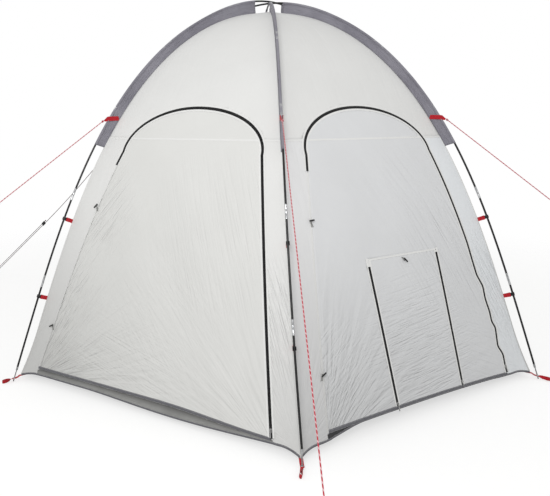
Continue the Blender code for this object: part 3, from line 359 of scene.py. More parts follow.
def sill_set(panel, u, z):
    """How far the hem and the cloth just above it are drawn in behind a door's foot."""
    if panel not in DOORS:
        return 0.0 * u
    left, right = hinge_side(panel, 0.10), zip_side(panel, 0.10) + ZIP_GAP
    ends = smooth((u - left) / 0.03) * smooth((right + 0.035 - u) / 0.035)
    return -OVERHANG * smooth((0.105 - z) / 0.02) * ends


def door_route(panel, growth, start=None, end=ZIP_END):
    """Line at a distance outside the door's edge: up the zip side, over the arch, down to an end."""
    if start is None:
        start = float(door_low(panel, 1.0))
    right = np.arange(start, ARCH_SPRING, EDGE_STEP)
    left = np.append(np.arange(ARCH_SPRING, end, -EDGE_STEP)[1:], end)
    angles = np.linspace(0, pi, 81)
    sides = np.where(angles < pi / 2, zip_side(panel, ARCH_SPRING, growth),
                     -hinge_side(panel, ARCH_SPRING, growth))
    arch = ARCH_SPRING + (ARCH_RISE + growth) * np.sin(angles)
    u = np.concatenate([zip_side(panel, right, growth), sides * np.cos(angles),
                        hinge_side(panel, left, growth)])
    return u, arc_at(np.concatenate([right, arch, left]))


def doorway(panel):
    """Closed outline of the opening that a door and its zip fill."""
    foot = np.linspace(hinge_side(panel, DOOR_BOTTOM, HINGE_FIT), zip_side(panel, DOOR_BOTTOM, ZIP_GAP), 60)
    sill = hem_height(panel, foot) + SILL_RISE
    u, a = door_route(panel, ZIP_GAP, float(sill[-1]) + 0.004, ZIP_END)
    z = np.arange(ZIP_END, float(sill[0]) + 0.004, -EDGE_STEP)
    return np.concatenate([pair(u, a), pair(hinge_side(panel, z, HINGE_FIT), arc_at(z)),
                           pair(foot, arc_at(sill))])


def closed(outline):
    """An outline with its first point again at its end."""
    return np.concatenate([outline, outline[:1]])


# Meshes

def new_object(name, mesh, material=None):
    """Put a mesh in the scene under a name."""
    made = bpy.data.objects.new(name, mesh)
    bpy.context.scene.collection.objects.link(made)
    if material is not None:
        mesh.materials.append(material)
    return made


def skin(name, points, faces, material, uvs=None, smooth=True):
    """Mesh object from points and faces, with its own cloth coordinates in metres."""
    mesh = bpy.data.meshes.new(name)
    mesh.from_pydata(np.asarray(points, float).reshape(-1, 3).tolist(), [], faces)
    if uvs is not None:
        layer = mesh.uv_layers.new(name="cut")
        index = np.zeros(len(mesh.loops), int)
        mesh.loops.foreach_get("vertex_index", index)
        layer.data.foreach_set("uv", np.asarray(uvs, float).reshape(-1, 2)[index].ravel())
    if smooth:
        mesh.shade_smooth()
    return new_object(name, mesh, material)


def settle(made):
    """Apply a piece's modifiers for good."""
    graph = bpy.context.evaluated_depsgraph_get()
    mesh = bpy.data.meshes.new_from_object(made.evaluated_get(graph))
    mesh.name = made.name
    made.modifiers.clear()
    made.data = mesh
    return made


def thicken(made, thickness, offset=1.0):
    """Give a sheet its thickness and close its rim."""
    step = made.modifiers.new("thickness", "SOLIDIFY")
    step.thickness = thickness
    step.offset = offset
    step.use_quality_normals = True
    return settle(made)


def rework(made, work):
    """Change a piece's mesh in place."""
    bm = bmesh.new()
    bm.from_mesh(made.data)
    work(bm)
    bm.to_mesh(made.data)
    bm.free()
    return made


def turn_out(made):
    """Point a closed mesh's faces outwards."""
    return rework(made, lambda bm: bmesh.ops.recalc_face_normals(bm, faces=bm.faces))


def drop_loose(made):
    """Remove the points that no face uses, and close up doubled ones."""
    def work(bm):
        bmesh.ops.delete(bm, geom=[v for v in bm.verts if not v.link_faces], context="VERTS")
        bmesh.ops.remove_doubles(bm, verts=bm.verts, dist=1e-5)

    return rework(made, work)


def crisp(made, degrees):
    """Shade a piece smooth, except over edges sharper than an angle."""
    made.data.shade_smooth()
    made.data.set_sharp_from_angle(angle=radians(degrees))
    return made


def distances(points):
    """Distance of each point along a line of points."""
    return np.concatenate([[0], np.cumsum(np.linalg.norm(np.diff(points, axis=0), axis=1))])


def strip_uvs(across, run):
    """Cloth coordinates of a strip: places across it, by distances along it."""
    return np.stack(np.broadcast_arrays(np.asarray(across, float)[None, :], np.asarray(run)[:, None]), -1)


def grid_faces(rows, columns, keep=None, around=False):
    """Faces of a grid of points, without the cells whose corners aren't kept."""
    faces = []
    kept = None if keep is None else keep.ravel()
    for i in range(rows - 1):
        for j in range(columns if around else columns - 1):
            k = (j + 1) % columns
            cell = (i * columns + j, i * columns + k, (i + 1) * columns + k, (i + 1) * columns + j)
            if kept is not None:
                cell = tuple(c for c in cell if kept[c])
            if len(cell) > 2:
                faces.append(cell)
    return faces


def near_line(u, a, line):
    """Nearest point of a polyline to each point, and how far it is."""
    best = np.full(u.shape, 1e9)
    near = np.zeros(u.shape + (2,))
    for (u0, a0), (u1, a1) in zip(line, line[1:]):
        du, da = u1 - u0, a1 - a0
        size = du * du + da * da
        if size < 1e-14:
            continue
        t = np.clip(((u - u0) * du + (a - a0) * da) / size, 0, 1)
        pu, pa = u0 + t * du, a0 + t * da
        gap = (u - pu) ** 2 + (a - pa) ** 2
        closer = gap < best
        best = np.where(closer, gap, best)
        near[closer] = np.stack([pu, pa], -1)[closer]
    return near, np.sqrt(best)


def inside(u, a, line):
    """Whether each point lies inside a closed outline."""
    found = np.zeros(u.shape, bool)
    for (u0, a0), (u1, a1) in zip(line, np.roll(line, -1, 0)):
        if a0 != a1:
            found ^= ((a0 > a) != (a1 > a)) & (u < (u1 - u0) * (a - a0) / (a1 - a0) + u0)
    return found


def trim(u, a, outline, keep_inside):
    """Draw a grid's points onto an outline and say which to keep."""
    line = closed(outline)
    near, gap = near_line(u, a, line)
    depth = np.where(inside(u, a, outline) == keep_inside, gap, -gap)
    snap = gap < 0.5 * EDGE_STEP
    u = np.where(snap, near[..., 0], u)
    a = np.where(snap, near[..., 1], a)
    keep = depth > -0.5 * EDGE_STEP
    turns = np.diff(line, axis=0)
    angles = np.unwrap(np.arctan2(turns[:, 1], turns[:, 0]))
    for i in np.nonzero(np.abs(np.diff(angles, append=angles[0] + 2 * pi)) > 0.6)[0]:
        corner = line[i + 1]
        gaps = np.where(keep, np.hypot(u - corner[0], a - corner[1]), 9.0)
        best = np.unravel_index(np.argmin(gaps), gaps.shape)
        if gaps[best] < EDGE_STEP:
            u[best], a[best] = corner
    return u, a, keep


def grain(x, y, seed):
    """Smooth random hills over a plane, from -1 to 1."""
    table = np.random.default_rng(seed).uniform(-1, 1, (256, 256))
    xi, yi = np.floor(x).astype(int), np.floor(y).astype(int)
    fx, fy = x - xi, y - yi
    sx, sy = fx * fx * (3 - 2 * fx), fy * fy * (3 - 2 * fy)
    low = table[xi % 256, yi % 256] * (1 - sx) + table[(xi + 1) % 256, yi % 256] * sx
    high = table[xi % 256, (yi + 1) % 256] * (1 - sx) + table[(xi + 1) % 256, (yi + 1) % 256] * sx
    return low * (1 - sy) + high * sy


def fan(u, z, centre, reach, count, seed):
    """Creases that run out from a point that pulls on the cloth."""
    du, dz = u - centre[0], z - centre[1]
    far = np.hypot(du, dz)
    rays = grain(np.arctan2(dz, du) * count + 40, far * 2.2, seed)
    rays = rays + 0.5 * grain(np.arctan2(dz, du) * count * 2.1 + 90, far * 4.0, seed + 1)
    return rays * np.minimum(far / 0.15, 1) * np.clip(1 - far / reach, 0, 1) ** 1.4


def streaks(u, z, degrees, width, length, seed):
    """Long creases that all run one way."""
    c, s = cos(radians(degrees)), sin(radians(degrees))
    return grain((z * c - u * s) / width + 50, (u * c + z * s) / length + 50, seed)


def creases(panel, u, a):
    """Height of the small tension creases over a panel."""
    z = height_at(a)
    if panel == 5:
        left, right = DOOR_FEET[5]
        rise = 0.0024 * fan(u, z, (left - 0.02, DOOR_BOTTOM), 1.00, 11, 3)
        rise += 0.0018 * fan(u, z, (right, DOOR_BOTTOM), 0.95, 13, 5)
        rise += 0.0016 * fan(u, z, (-0.56, 1.02), 0.42, 9, 7)
        lean = np.clip(1.2 - z, 0, 1)
        rise += 0.0009 * streaks(u, z, -62, 0.034, 0.50, 9) * np.clip(u + 0.7, 0, 1)
        return rise + 0.0009 * streaks(u, z, 42, 0.030, 0.30, 11) * lean * np.clip(-u * 1.5 + 0.2, 0, 1)
    if panel == 0:
        left, right = DOOR_FEET[0]
        rise = 0.0020 * fan(u, z, (left, DOOR_BOTTOM), 0.80, 11, 13)
        rise += 0.0016 * fan(u, z, (right, 0.25), 0.70, 12, 15)
        rise += 0.0010 * fan(u, z, (left + 0.1, 1.35), 1.0, 10, 17)
        rise += 0.0008 * streaks(u, z, -58, 0.036, 0.50, 19)
        return rise + 0.0008 * streaks(u, z, 22, 0.028, 0.26, 21) * np.clip(1.0 - z * 1.2, 0, 1)
    rise = sum(0.0020 * fan(u, z, (way * LOW_HALF, 0.10), 0.9, 12, 30 + panel * 4 + way) for way in (-1, 1))
    rise += 0.0010 * streaks(u, z, 55 if panel % 2 else -55, 0.036, 0.45, 60 + panel)
    return rise + 0.0008 * streaks(u, z, 88, 0.060, 0.60, 70 + panel)


def calm(u, a, lines):
    """Share of the creases that is left near seams and zips, given as lines and how far they reach."""
    quiet = np.ones(u.shape)
    for line, reach in lines:
        quiet = np.minimum(quiet, smooth(near_line(u, a, line)[1] / reach))
    return quiet


# Materials

def linear(value):
    """Turn one sRGB channel into a linear value."""
    return value / 12.92 if value <= 0.04045 else ((value + 0.055) / 1.055) ** 2.4


def colour(text):
    """Linear colour from an sRGB hex text."""
    return (*(linear(int(text[i:i + 2], 16) / 255) for i in (0, 2, 4)), 1.0)


def add(tree, kind, links=(), **settings):
    """Add a node with its settings and its links or values, by socket name or number."""
    made = tree.nodes.new(kind)
    for name, value in settings.items():
        setattr(made, name, value)
    for socket, value in dict(links).items():
        if isinstance(value, bpy.types.NodeSocket):
            tree.links.new(value, made.inputs[socket])
        else:
            made.inputs[socket].default_value = value
    return made


def turns_per_metre(pitch):
    """Turns per metre of a wave whose crests lie a pitch in millimetres apart."""
    return 1000.0 / pitch / 6.283


def new_material(name, **values):
    """Material with a Principled shader and its plain numbers."""
    made = bpy.data.materials.new(name)
    made.use_nodes = True
    shader = made.node_tree.nodes["Principled BSDF"]
    for socket, value in values.items():
        shader.inputs[socket.replace("_", " ")].default_value = value
    return made, made.node_tree, shader


def ramp(tree, factor, stops):
    """Colour ramp from a factor through stops of place and hex colour."""
    made = add(tree, "ShaderNodeValToRGB", {"Fac": factor})
    while len(made.color_ramp.elements) < len(stops):
        made.color_ramp.elements.new(0.5)
    for element, (place, text) in zip(made.color_ramp.elements, stops):
        element.position = place
        element.color = colour(text)
    return made.outputs["Color"]


def cut_coordinates(tree, scale):
    """A piece's own cloth coordinates, scaled to turns per metre."""
    uv = add(tree, "ShaderNodeUVMap", uv_map="cut")
    return add(tree, "ShaderNodeMapping", {"Vector": uv.outputs[0],
                                           "Scale": (scale, scale, 1.0)}).outputs[0]


def fading(tree, centre, near, far, depth):
    """A value that fades out with the distance from a place on the cloth."""
    uv = add(tree, "ShaderNodeUVMap", uv_map="cut").outputs[0]
    away = add(tree, "ShaderNodeVectorMath", {0: uv, 1: (*centre, 0.0)}, operation="DISTANCE")
    return add(tree, "ShaderNodeMapRange", {"Value": away.outputs["Value"], "From Min": near, "From Max": far,
                                            "To Min": depth, "To Max": 0.0},
               interpolation_type="SMOOTHSTEP").outputs[0]


def wire(tree, shader, **sockets):
    """Link values to a shader."""
    for name, value in sockets.items():
        tree.links.new(value, shader.inputs[name.replace("_", " ")])


def ridges(tree, place):
    """Crisp folds from a random pattern: high along thin lines, low between them."""
    hills = add(tree, "ShaderNodeTexNoise", {"Vector": place, "Scale": 1.0, "Detail": 2.0, "Roughness": 0.5})
    centred = add(tree, "ShaderNodeMath", {0: hills.outputs["Fac"], 1: -0.5}, operation="ADD")
    sharp = add(tree, "ShaderNodeMath", {0: centred.outputs[0]}, operation="ABSOLUTE")
    return add(tree, "ShaderNodeMath", {0: 0.22, 1: sharp.outputs[0]}, operation="SUBTRACT",
               use_clamp=True).outputs[0]


def pull_creases(tree, centre, rays, stretch, reach, depth, seed):
    """Fine folds that run out from a point that pulls on the cloth, in metres of height."""
    uv = add(tree, "ShaderNodeUVMap", uv_map="cut").outputs[0]
    away = add(tree, "ShaderNodeVectorMath", {0: uv, 1: (*centre, 0.0)}, operation="SUBTRACT").outputs[0]
    far = add(tree, "ShaderNodeVectorMath", {0: away}, operation="LENGTH").outputs["Value"]
    parts = add(tree, "ShaderNodeSeparateXYZ", {0: away}).outputs
    turn = add(tree, "ShaderNodeMath", {0: parts[1], 1: parts[0]}, operation="ARCTAN2").outputs[0]
    spread = add(tree, "ShaderNodeMath", {0: turn, 1: rays}, operation="MULTIPLY").outputs[0]
    along = add(tree, "ShaderNodeMath", {0: far, 1: stretch}, operation="MULTIPLY").outputs[0]
    place = add(tree, "ShaderNodeCombineXYZ", {0: spread, 1: along, 2: seed}).outputs[0]
    quiet = add(tree, "ShaderNodeMapRange", {"Value": far, "From Min": 0.02, "From Max": 0.30}).outputs[0]
    height = ridges(tree, place)
    for share in (fading(tree, centre, 0.0, reach, depth), quiet):
        height = add(tree, "ShaderNodeMath", {0: height, 1: share}, operation="MULTIPLY").outputs[0]
    return height


def run_creases(tree, degrees, width, length, depth, seed, around=None, reach=1.0):
    """Fine folds that all run one way, strongest round a place, in metres of height."""
    uv = add(tree, "ShaderNodeUVMap", uv_map="cut").outputs[0]
    turned = add(tree, "ShaderNodeMapping", {"Vector": uv, "Rotation": (0, 0, radians(-degrees))}).outputs[0]
    place = add(tree, "ShaderNodeMapping", {"Vector": turned, "Scale": (1 / length, 1 / width, 1.0),
                                            "Location": (0, 0, seed)}).outputs[0]
    fade = depth if around is None else fading(tree, around, reach * 0.2, reach, depth)
    return add(tree, "ShaderNodeMath", {0: ridges(tree, place), 1: fade}, operation="MULTIPLY").outputs[0]


def cloth_material(name, light, dark, roughness, sheen, pulls=(), runs=(), shades=(), across=None):
    """Thin coated polyester taffeta: plain weave, fine tension creases, a soft sheen, and painted shade and
    tint where given.
    """
    made, tree, shader = new_material(name, Roughness=roughness, Sheen_Weight=sheen, Sheen_Roughness=0.4,
                                      Specular_IOR_Level=0.35)
    blot = add(tree, "ShaderNodeTexNoise", {"Vector": cut_coordinates(tree, 2.2), "Scale": 1.0, "Detail": 4.0,
                                            "Roughness": 0.6})
    base = ramp(tree, blot.outputs["Fac"], ((0.32, dark), (0.68, light)))
    # Painted shade and tint: the base colour goes over to given colours near given places and across the
    # cloth.
    painted_tones = [(fading(tree, centre, 0.0, reach, depth), text) for centre, reach, depth, text in shades]
    if across is not None:
        start, end, text = across
        uv = add(tree, "ShaderNodeUVMap", uv_map="cut").outputs[0]
        place = add(tree, "ShaderNodeSeparateXYZ", {0: uv}).outputs[0]
        grows = add(tree, "ShaderNodeMapRange", {"Value": place, "From Min": start, "From Max": end})
        painted_tones.append((grows.outputs[0], text))
    for share, text in painted_tones:
        base = add(tree, "ShaderNodeMix", {0: share, 6: base, 7: colour(text)}, data_type="RGBA").outputs[2]
    # The threads lie 0.3 mm apart; they are drawn 1.6 mm apart so that the weave shows.
    threads = cut_coordinates(tree, turns_per_metre(1.6))
    warp, weft = (add(tree, "ShaderNodeTexWave", {"Vector": threads, "Scale": 1.0, "Distortion": 0.3},
                      bands_direction=way).outputs["Fac"]
                  for way in "XY")
    weave = add(tree, "ShaderNodeMath", {0: warp, 1: weft}, operation="MULTIPLY").outputs[0]
    fine = add(tree, "ShaderNodeBump", {"Height": weave, "Strength": 0.12, "Distance": 0.0003}).outputs[0]
    folds = [pull_creases(tree, *pull) for pull in pulls] + [run_creases(tree, *run) for run in runs]
    height = folds[0]
    for fold_height in folds[1:]:
        height = add(tree, "ShaderNodeMath", {0: height, 1: fold_height}, operation="ADD").outputs[0]
    bump = add(tree, "ShaderNodeBump", {"Height": height, "Strength": 1.0, "Distance": 1.0, "Normal": fine})
    wire(tree, shader, Base_Color=base, Normal=bump.outputs[0])
    return made


def ribbed_material(name, light, dark, ribs_mm, roughness):
    """Woven narrow fabric: ribs across its length, the yarns' pattern with painted shade in the gaps between
    them.
    """
    made, tree, shader = new_material(name, Roughness=roughness, Sheen_Weight=0.25, Sheen_Roughness=0.5,
                                      Specular_IOR_Level=0.3)
    count = turns_per_metre(ribs_mm)
    long = add(tree, "ShaderNodeTexWave", {"Vector": cut_coordinates(tree, count), "Scale": 1.0,
                                           "Distortion": 1.2, "Detail": 1.0}, bands_direction="Y")
    wide = add(tree, "ShaderNodeTexWave", {"Vector": cut_coordinates(tree, count * 0.8), "Scale": 1.0,
                                           "Distortion": 0.6}, bands_direction="X")
    ribs = add(tree, "ShaderNodeMath", {0: long.outputs["Fac"], 1: wide.outputs["Fac"]},
               operation="MULTIPLY").outputs[0]
    blot = add(tree, "ShaderNodeTexNoise", {"Vector": cut_coordinates(tree, 40), "Scale": 1.0, "Detail": 3.0})
    # Painted shade in the gaps between the ribs, with random tone from the blot noise.
    rib_shade_and_tone = add(tree, "ShaderNodeMath", {0: ribs, 1: blot.outputs["Fac"]}, operation="MULTIPLY").outputs[0]
    bump = add(tree, "ShaderNodeBump", {"Height": ribs, "Strength": 0.6, "Distance": 0.0006})
    wire(tree, shader, Base_Color=ramp(tree, rib_shade_and_tone, ((0.0, dark), (0.42, light))), Normal=bump.outputs[0])
    return made


def moulded_material(name, light, dark, roughness, grain_mm, depth, metallic=0.0):
    """Moulded, drawn or cast stock: a fine grain, and roughness that varies with handling."""
    made, tree, shader = new_material(name, Metallic=metallic)
    where = add(tree, "ShaderNodeTexCoord").outputs["Object"]
    fine, wide = (add(tree, "ShaderNodeTexNoise",
                      {"Vector": where, "Scale": scale, "Detail": 3.0}).outputs["Fac"]
                  for scale in (1000.0 / grain_mm, 45.0))
    rough = add(tree, "ShaderNodeMapRange", {"Value": wide, "To Min": roughness - 0.07,
                                             "To Max": roughness + 0.07})
    bump = add(tree, "ShaderNodeBump", {"Height": fine, "Strength": 0.35, "Distance": depth})
    wire(tree, shader, Base_Color=ramp(tree, wide, ((0.3, dark), (0.7, light))), Roughness=rough.outputs[0],
         Normal=bump.outputs[0])
    return made


def rope_material(name, red, deep_red, fleck):
    """Braided polyester cord, 16 carriers, with a pale fleck yarn every 21 mm."""
    made, tree, shader = new_material(name, Roughness=0.75, Sheen_Weight=0.3)
    uv = add(tree, "ShaderNodeUVMap", uv_map="cut").outputs[0]
    turn, run, _ = add(tree, "ShaderNodeSeparateXYZ", {0: uv}).outputs
    yarns = add(tree, "ShaderNodeMath", {0: run, 1: 1000.0 / 21.0}, operation="MULTIPLY").outputs[0]
    wound = add(tree, "ShaderNodeMath", {0: yarns, 1: turn}, operation="ADD").outputs[0]
    dash = add(tree, "ShaderNodeMath", {0: wound}, operation="FRACT").outputs[0]
    rows = add(tree, "ShaderNodeMath", {0: run, 1: 1000.0 / 7.0}, operation="MULTIPLY").outputs[0]
    braid = []
    for turns in (4.0, -4.0):
        spun = add(tree, "ShaderNodeMath", {0: turn, 1: turns}, operation="MULTIPLY").outputs[0]
        laid = add(tree, "ShaderNodeMath", {0: spun, 1: rows}, operation="ADD").outputs[0]
        braid.append(add(tree, "ShaderNodeMath", {0: laid, 1: 1.0}, operation="PINGPONG").outputs[0])
    height = add(tree, "ShaderNodeMath", {0: braid[0], 1: braid[1]}, operation="MULTIPLY").outputs[0]
    bump = add(tree, "ShaderNodeBump", {"Height": height, "Strength": 0.6, "Distance": 0.0006})
    stops = ((0.0, deep_red), (0.62, red), (0.68, fleck), (0.95, fleck))
    wire(tree, shader, Base_Color=ramp(tree, dash, stops), Normal=bump.outputs[0])
    return made


LEFT_HINGE, LEFT_FOOT = DOOR_FEET[5]
RIGHT_HINGE = DOOR_FEET[0][0]
# Painted shade: the grey that the cloth is mixed towards near its feet.
LOW_SHADE = "A2A2A0"
# Folds that run up from both feet of a wall, and painted shade that greys the cloth there.
WALL_FOLDS = {"pulls": (((-LOW_HALF, LOW_ARC), 14, 2.2, 0.9, 0.012, 1.0),
                        ((LOW_HALF, LOW_ARC), 14, 2.2, 0.9, 0.012, 2.0)),
              "runs": ((86, 0.045, 0.50, 0.0026, 3.0),
                       (-67, 0.016, 0.30, 0.022, 3.5, (0.62, 0.62), 0.50)),
              "shades": (((-LOW_HALF, LOW_ARC), 1.30, 0.40, LOW_SHADE),
                         ((LOW_HALF, LOW_ARC), 0.75, 0.22, LOW_SHADE))}
# Walls and roof: warm white taffeta whose coating gives a soft, even glow over a fine weave.
CANVAS = cloth_material("polyurethane_coated_taffeta", "EBEBE9", "E7E7E5", 0.62, 0.10, **WALL_FOLDS)
# Wall beside the right door: the same cloth, painted bluer where it turns from the light.
PAINTED_COOL_CANVAS = cloth_material("taffeta_painted_cool", "EBEBEB", "E7E7E7", 0.62, 0.10,
                             across=(0.0, 0.50, "EEF1F3"), **WALL_FOLDS)
# Left door: slack white taffeta with long pulled folds, and painted shade that greys it towards its hinge's
# foot.
LEFT_CANVAS = cloth_material("left_door_taffeta", "E7E7E4", "E3E3E0", 0.60, 0.10,
                             pulls=(((LEFT_HINGE - 0.06, LOW_ARC - 0.05), 16, 2.4, 1.30, 0.034, 4.0),
                                    ((LEFT_HINGE - 0.20, LOW_ARC - 0.25), 12, 1.3, 1.90, 0.016, 5.0),
                                    ((LEFT_FOOT + 0.08, LOW_ARC - 0.08), 11, 1.6, 1.30, 0.012, 6.0),
                                    ((LEFT_FOOT + 0.35, LOW_ARC - 0.45), 20, 2.2, 2.20, 0.007, 7.0)),
                             runs=((57, 0.022, 0.30, 0.022, 8.0, (-0.52, 1.12), 0.42),
                                   (56, 0.024, 0.26, 0.020, 9.0, (-0.70, 0.62), 0.42),
                                   (-70, 0.026, 0.50, 0.010, 10.0, (0.40, 1.05), 0.70),
                                   (-48, 0.030, 0.18, 0.007, 10.3, (0.05, 0.55), 0.60),
                                   (-16, 0.024, 0.36, 0.009, 10.5, (-0.20, 0.16), 0.60)),
                             shades=(((LEFT_HINGE, LOW_ARC), 0.85, 0.26, LOW_SHADE),
                                     ((LEFT_HINGE, LOW_ARC), 2.20, 0.13, LOW_SHADE)))
# Right door: taffeta painted slightly cooler, as it turns from the light; creased round the flap, with
# painted shade towards its foot.
RIGHT_CANVAS = cloth_material("right_door_taffeta", "E5E6E7", "E1E2E3", 0.60, 0.10,
                              pulls=(((RIGHT_HINGE - 0.05, LOW_ARC - 0.05), 14, 2.4, 1.10, 0.026, 11.0),
                                     ((RIGHT_HINGE - 0.10, LOW_ARC - 0.15), 9, 1.6, 1.60, 0.018, 12.0)),
                              runs=((-66, 0.028, 0.60, 0.016, 14.0, (0.42, 0.85), 0.62),
                                    (-60, 0.034, 0.50, 0.009, 14.5, (0.22, 1.25), 0.55),
                                    (6, 0.020, 0.20, 0.015, 15.0, (0.04, 0.36), 0.60),
                                    (36, 0.020, 0.16, 0.014, 16.0, (RIGHT_HINGE + 0.05, 0.34), 0.45),
                                    (-24, 0.024, 0.22, 0.008, 16.5, (0.42, 0.30), 0.40)),
                              shades=(((RIGHT_HINGE, LOW_ARC), 1.10, 0.30, LOW_SHADE),
                                      ((0.05, LOW_ARC), 1.30, 0.10, LOW_SHADE)))
DOOR_CANVASES = {5: LEFT_CANVAS, 0: RIGHT_CANVAS}
# Felled seams and facings: cloth that lies double, so it looks whiter and almost smooth.
SEAM_CLOTH = cloth_material("doubled_taffeta", "F0F0EE", "EBEBE9", 0.60, 0.10,
                            runs=((90, 0.05, 0.30, 0.0006, 21.0),))
# Pole sleeves: grey oxford, matt, puckered across by its stitches.
SLEEVE_CLOTH = cloth_material("grey_sleeve_oxford", "9A98A1", "7E7C86", 0.70, 0.20,
                              runs=((90, 0.010, 0.16, 0.010, 17.0), (84, 0.018, 0.30, 0.010, 18.0)))
# Lip under the left door: grey ground cloth, painted darker towards its upper edge for the door's shade.
SILL_CLOTH = cloth_material("grey_ground_cloth", "A4A4A2", "868684", 0.75, 0.10,
                            runs=((90, 0.014, 0.12, 0.006, 19.0), (60, 0.020, 0.20, 0.006, 20.0)),
                            across=(0.010, 0.046, "4C4C4B"))
# Lip under the right door: the same ground cloth, painted dark for the deep shade under the door.
DARK_SILL = cloth_material("shaded_ground_cloth", "4A4A4B", "343436", 0.75, 0.10,
                           runs=((90, 0.014, 0.12, 0.006, 22.0),))
SILL_CLOTHS = {5: SILL_CLOTH, 0: DARK_SILL}
# Edge binding: matt grey woven tape with fine ribs.
BINDING = ribbed_material("grey_binding_tape", "818186", "626267", 1.4, 0.80)
# Feet, loops and clip straps: bright red nylon, its ribs painted lighter where they catch a little light.
RED_WEBBING = ribbed_material("red_nylon_webbing", "DE1A2C", "A80F1E", 1.8, 0.70)
# Toggle ties: pale grey elastic with close ribs.
ELASTIC = ribbed_material("grey_elastic", "B9B9B6", "8F8F8C", 1.2, 0.80)
# Guy ropes: red braid with a pale fleck that winds round it.
ROPE = rope_material("braided_guy_cord", "C81E36", "B0142A", "E9B9BF")
# Back rope: the same braid, painted dark brown red for how it looks against the light.
BACKLIT_ROPE = rope_material("backlit_braided_guy_cord", "4A262C", "2E1A1E", "6E4A50")
# Zip tape: flat black weave without shine.
ZIP_TAPE = ribbed_material("black_zip_tape", "1C1C1E", "101011", 1.2, 0.75)
# Zip coil: black nylon with small bright edges.
ZIP_TEETH = moulded_material("black_coil_zip", "1B1B1C", "0E0E0F", 0.35, 0.9, 0.0001)
# Sliders and pullers: nickelled zinc, a soft bright metal.
ZINC = moulded_material("nickelled_zinc", "C9C9C8", "AEAEAD", 0.26, 0.8, 0.00008, 1.0)
# Ferrules, tips and eyelets: drawn steel, brighter than the zinc.
STEEL = moulded_material("drawn_steel", "D6D7D8", "B8B9BB", 0.24, 0.7, 0.00008, 1.0)
# Poles: black fibreglass with a dull line of light along them.
FIBREGLASS = moulded_material("black_fibreglass", "161617", "0C0C0D", 0.32, 1.0, 0.0001)
# Clips, puller ends and runner: satin black plastic.
ACETAL = moulded_material("moulded_acetal", "1D1D1F", "131314", 0.42, 0.6, 0.0001)
# Toggles: black nylon, a little rougher than the clips.
TOGGLE_BLACK = moulded_material("moulded_toggle_nylon", "202021", "131314", 0.48, 0.6, 0.0001)
# Stitches: white thread that stands out as a fine dotted line.
THREAD = moulded_material("sewing_thread", "F0F0EE", "E2E2E0", 0.65, 0.5, 0.0001)


# What repeats

def row_tree(name, sides):
    """Nodes that set one small piece after another along a line, with its face outwards."""
    tree = bpy.data.node_groups.new(name, "GeometryNodeTree")
    face = tree.interface
    face.new_socket("Geometry", in_out="INPUT", socket_type="NodeSocketGeometry")
    for label, kind in (("Pitch", "NodeSocketFloat"), ("Lead", "NodeSocketFloat"),
                        ("Piece Size", "NodeSocketVector"), ("Finish", "NodeSocketMaterial")):
        face.new_socket(label, in_out="INPUT", socket_type=kind)
    face.new_socket("Geometry", in_out="OUTPUT", socket_type="NodeSocketGeometry")
    given = tree.nodes.new("NodeGroupInput").outputs
    line = add(tree, "GeometryNodeMeshToCurve", {"Mesh": given["Geometry"]})
    cut = add(tree, "GeometryNodeTrimCurve", {"Curve": line.outputs[0], "Start": 0.0}, mode="LENGTH")
    tree.links.new(given["Lead"], cut.inputs[4])
    cut.inputs[5].default_value = 1000.0
    spaced = add(tree, "GeometryNodeResampleCurve", {"Curve": cut.outputs[0], "Length": given["Pitch"]},
                 mode="LENGTH")
    way = add(tree, "GeometryNodeInputTangent")
    out = add(tree, "GeometryNodeInputNamedAttribute", {"Name": "out"}, data_type="FLOAT_VECTOR")
    along = add(tree, "FunctionNodeAlignRotationToVector", {"Vector": way.outputs[0]}, axis="X")
    turned = add(tree, "FunctionNodeAlignRotationToVector",
                 {"Rotation": along.outputs[0], "Vector": out.outputs[0]}, axis="Z", pivot_axis="X")
    if sides:
        shape = add(tree, "GeometryNodeMeshCylinder", {"Vertices": sides, "Radius": 0.5, "Depth": 1.0})
        shape = add(tree, "GeometryNodeTransform", {"Geometry": shape.outputs[0], "Rotation": (pi / 2, 0, 0)})
    else:
        shape = add(tree, "GeometryNodeMeshIcoSphere", {"Radius": 0.5, "Subdivisions": 1})
    set_down = add(tree, "GeometryNodeInstanceOnPoints",
                   {"Points": spaced.outputs[0], "Instance": shape.outputs[0],
                    "Rotation": turned.outputs[0], "Scale": given["Piece Size"]})
    real = add(tree, "GeometryNodeRealizeInstances", {"Geometry": set_down.outputs[0]})
    done = add(tree, "GeometryNodeSetMaterial", {"Geometry": real.outputs[0], "Material": given["Finish"]})
    result = tree.nodes.new("NodeGroupOutput")
    tree.links.new(done.outputs[0], result.inputs[0])
    return tree


STITCH_ROW = row_tree("stitch_row", 0)
TOOTH_ROW = row_tree("zip_tooth_row", 8)


def row_piece(name, tree, lines, pitch, lead, size, finish):
    """Small pieces along lines of points and normals, joined in one mesh."""
    mesh = bpy.data.meshes.new(name)
    points, normals = (np.concatenate([np.asarray(line[part], float) for line in lines])
                       for part in (0, 1))
    edges, start = [], 0
    for line in lines:
        edges += [(start + i, start + i + 1) for i in range(len(line[0]) - 1)]
        start += len(line[0])
    mesh.from_pydata(points.tolist(), edges, [])
    mesh.attributes.new("out", "FLOAT_VECTOR", "POINT").data.foreach_set("vector", normals.ravel())
    made = new_object(name, mesh)
    step = made.modifiers.new("row", "NODES")
    step.node_group = tree
    values = {"Pitch": pitch, "Lead": lead, "Piece Size": size, "Finish": finish}
    for item in tree.interface.items_tree:
        if item.in_out == "INPUT" and item.name in values:
            step[item.identifier] = values[item.name]
    settle(made)
    made.data.materials.clear()
    made.data.materials.append(finish)
    made.data.shade_smooth()
    return made


def panel_line(panel, u, a, lift):
    """Line on a panel, with its normals, for a row of small pieces."""
    a = np.asarray(a, float) + 0.0 * np.asarray(u, float)
    return panel_surface(panel, u, a, lift), panel_normals(panel, a)


def stitches(name, lines):
    """Row of lockstitches."""
    return row_piece(name, STITCH_ROW, lines, 0.006, 0.002, (0.0042, 0.0011, 0.0008), THREAD)


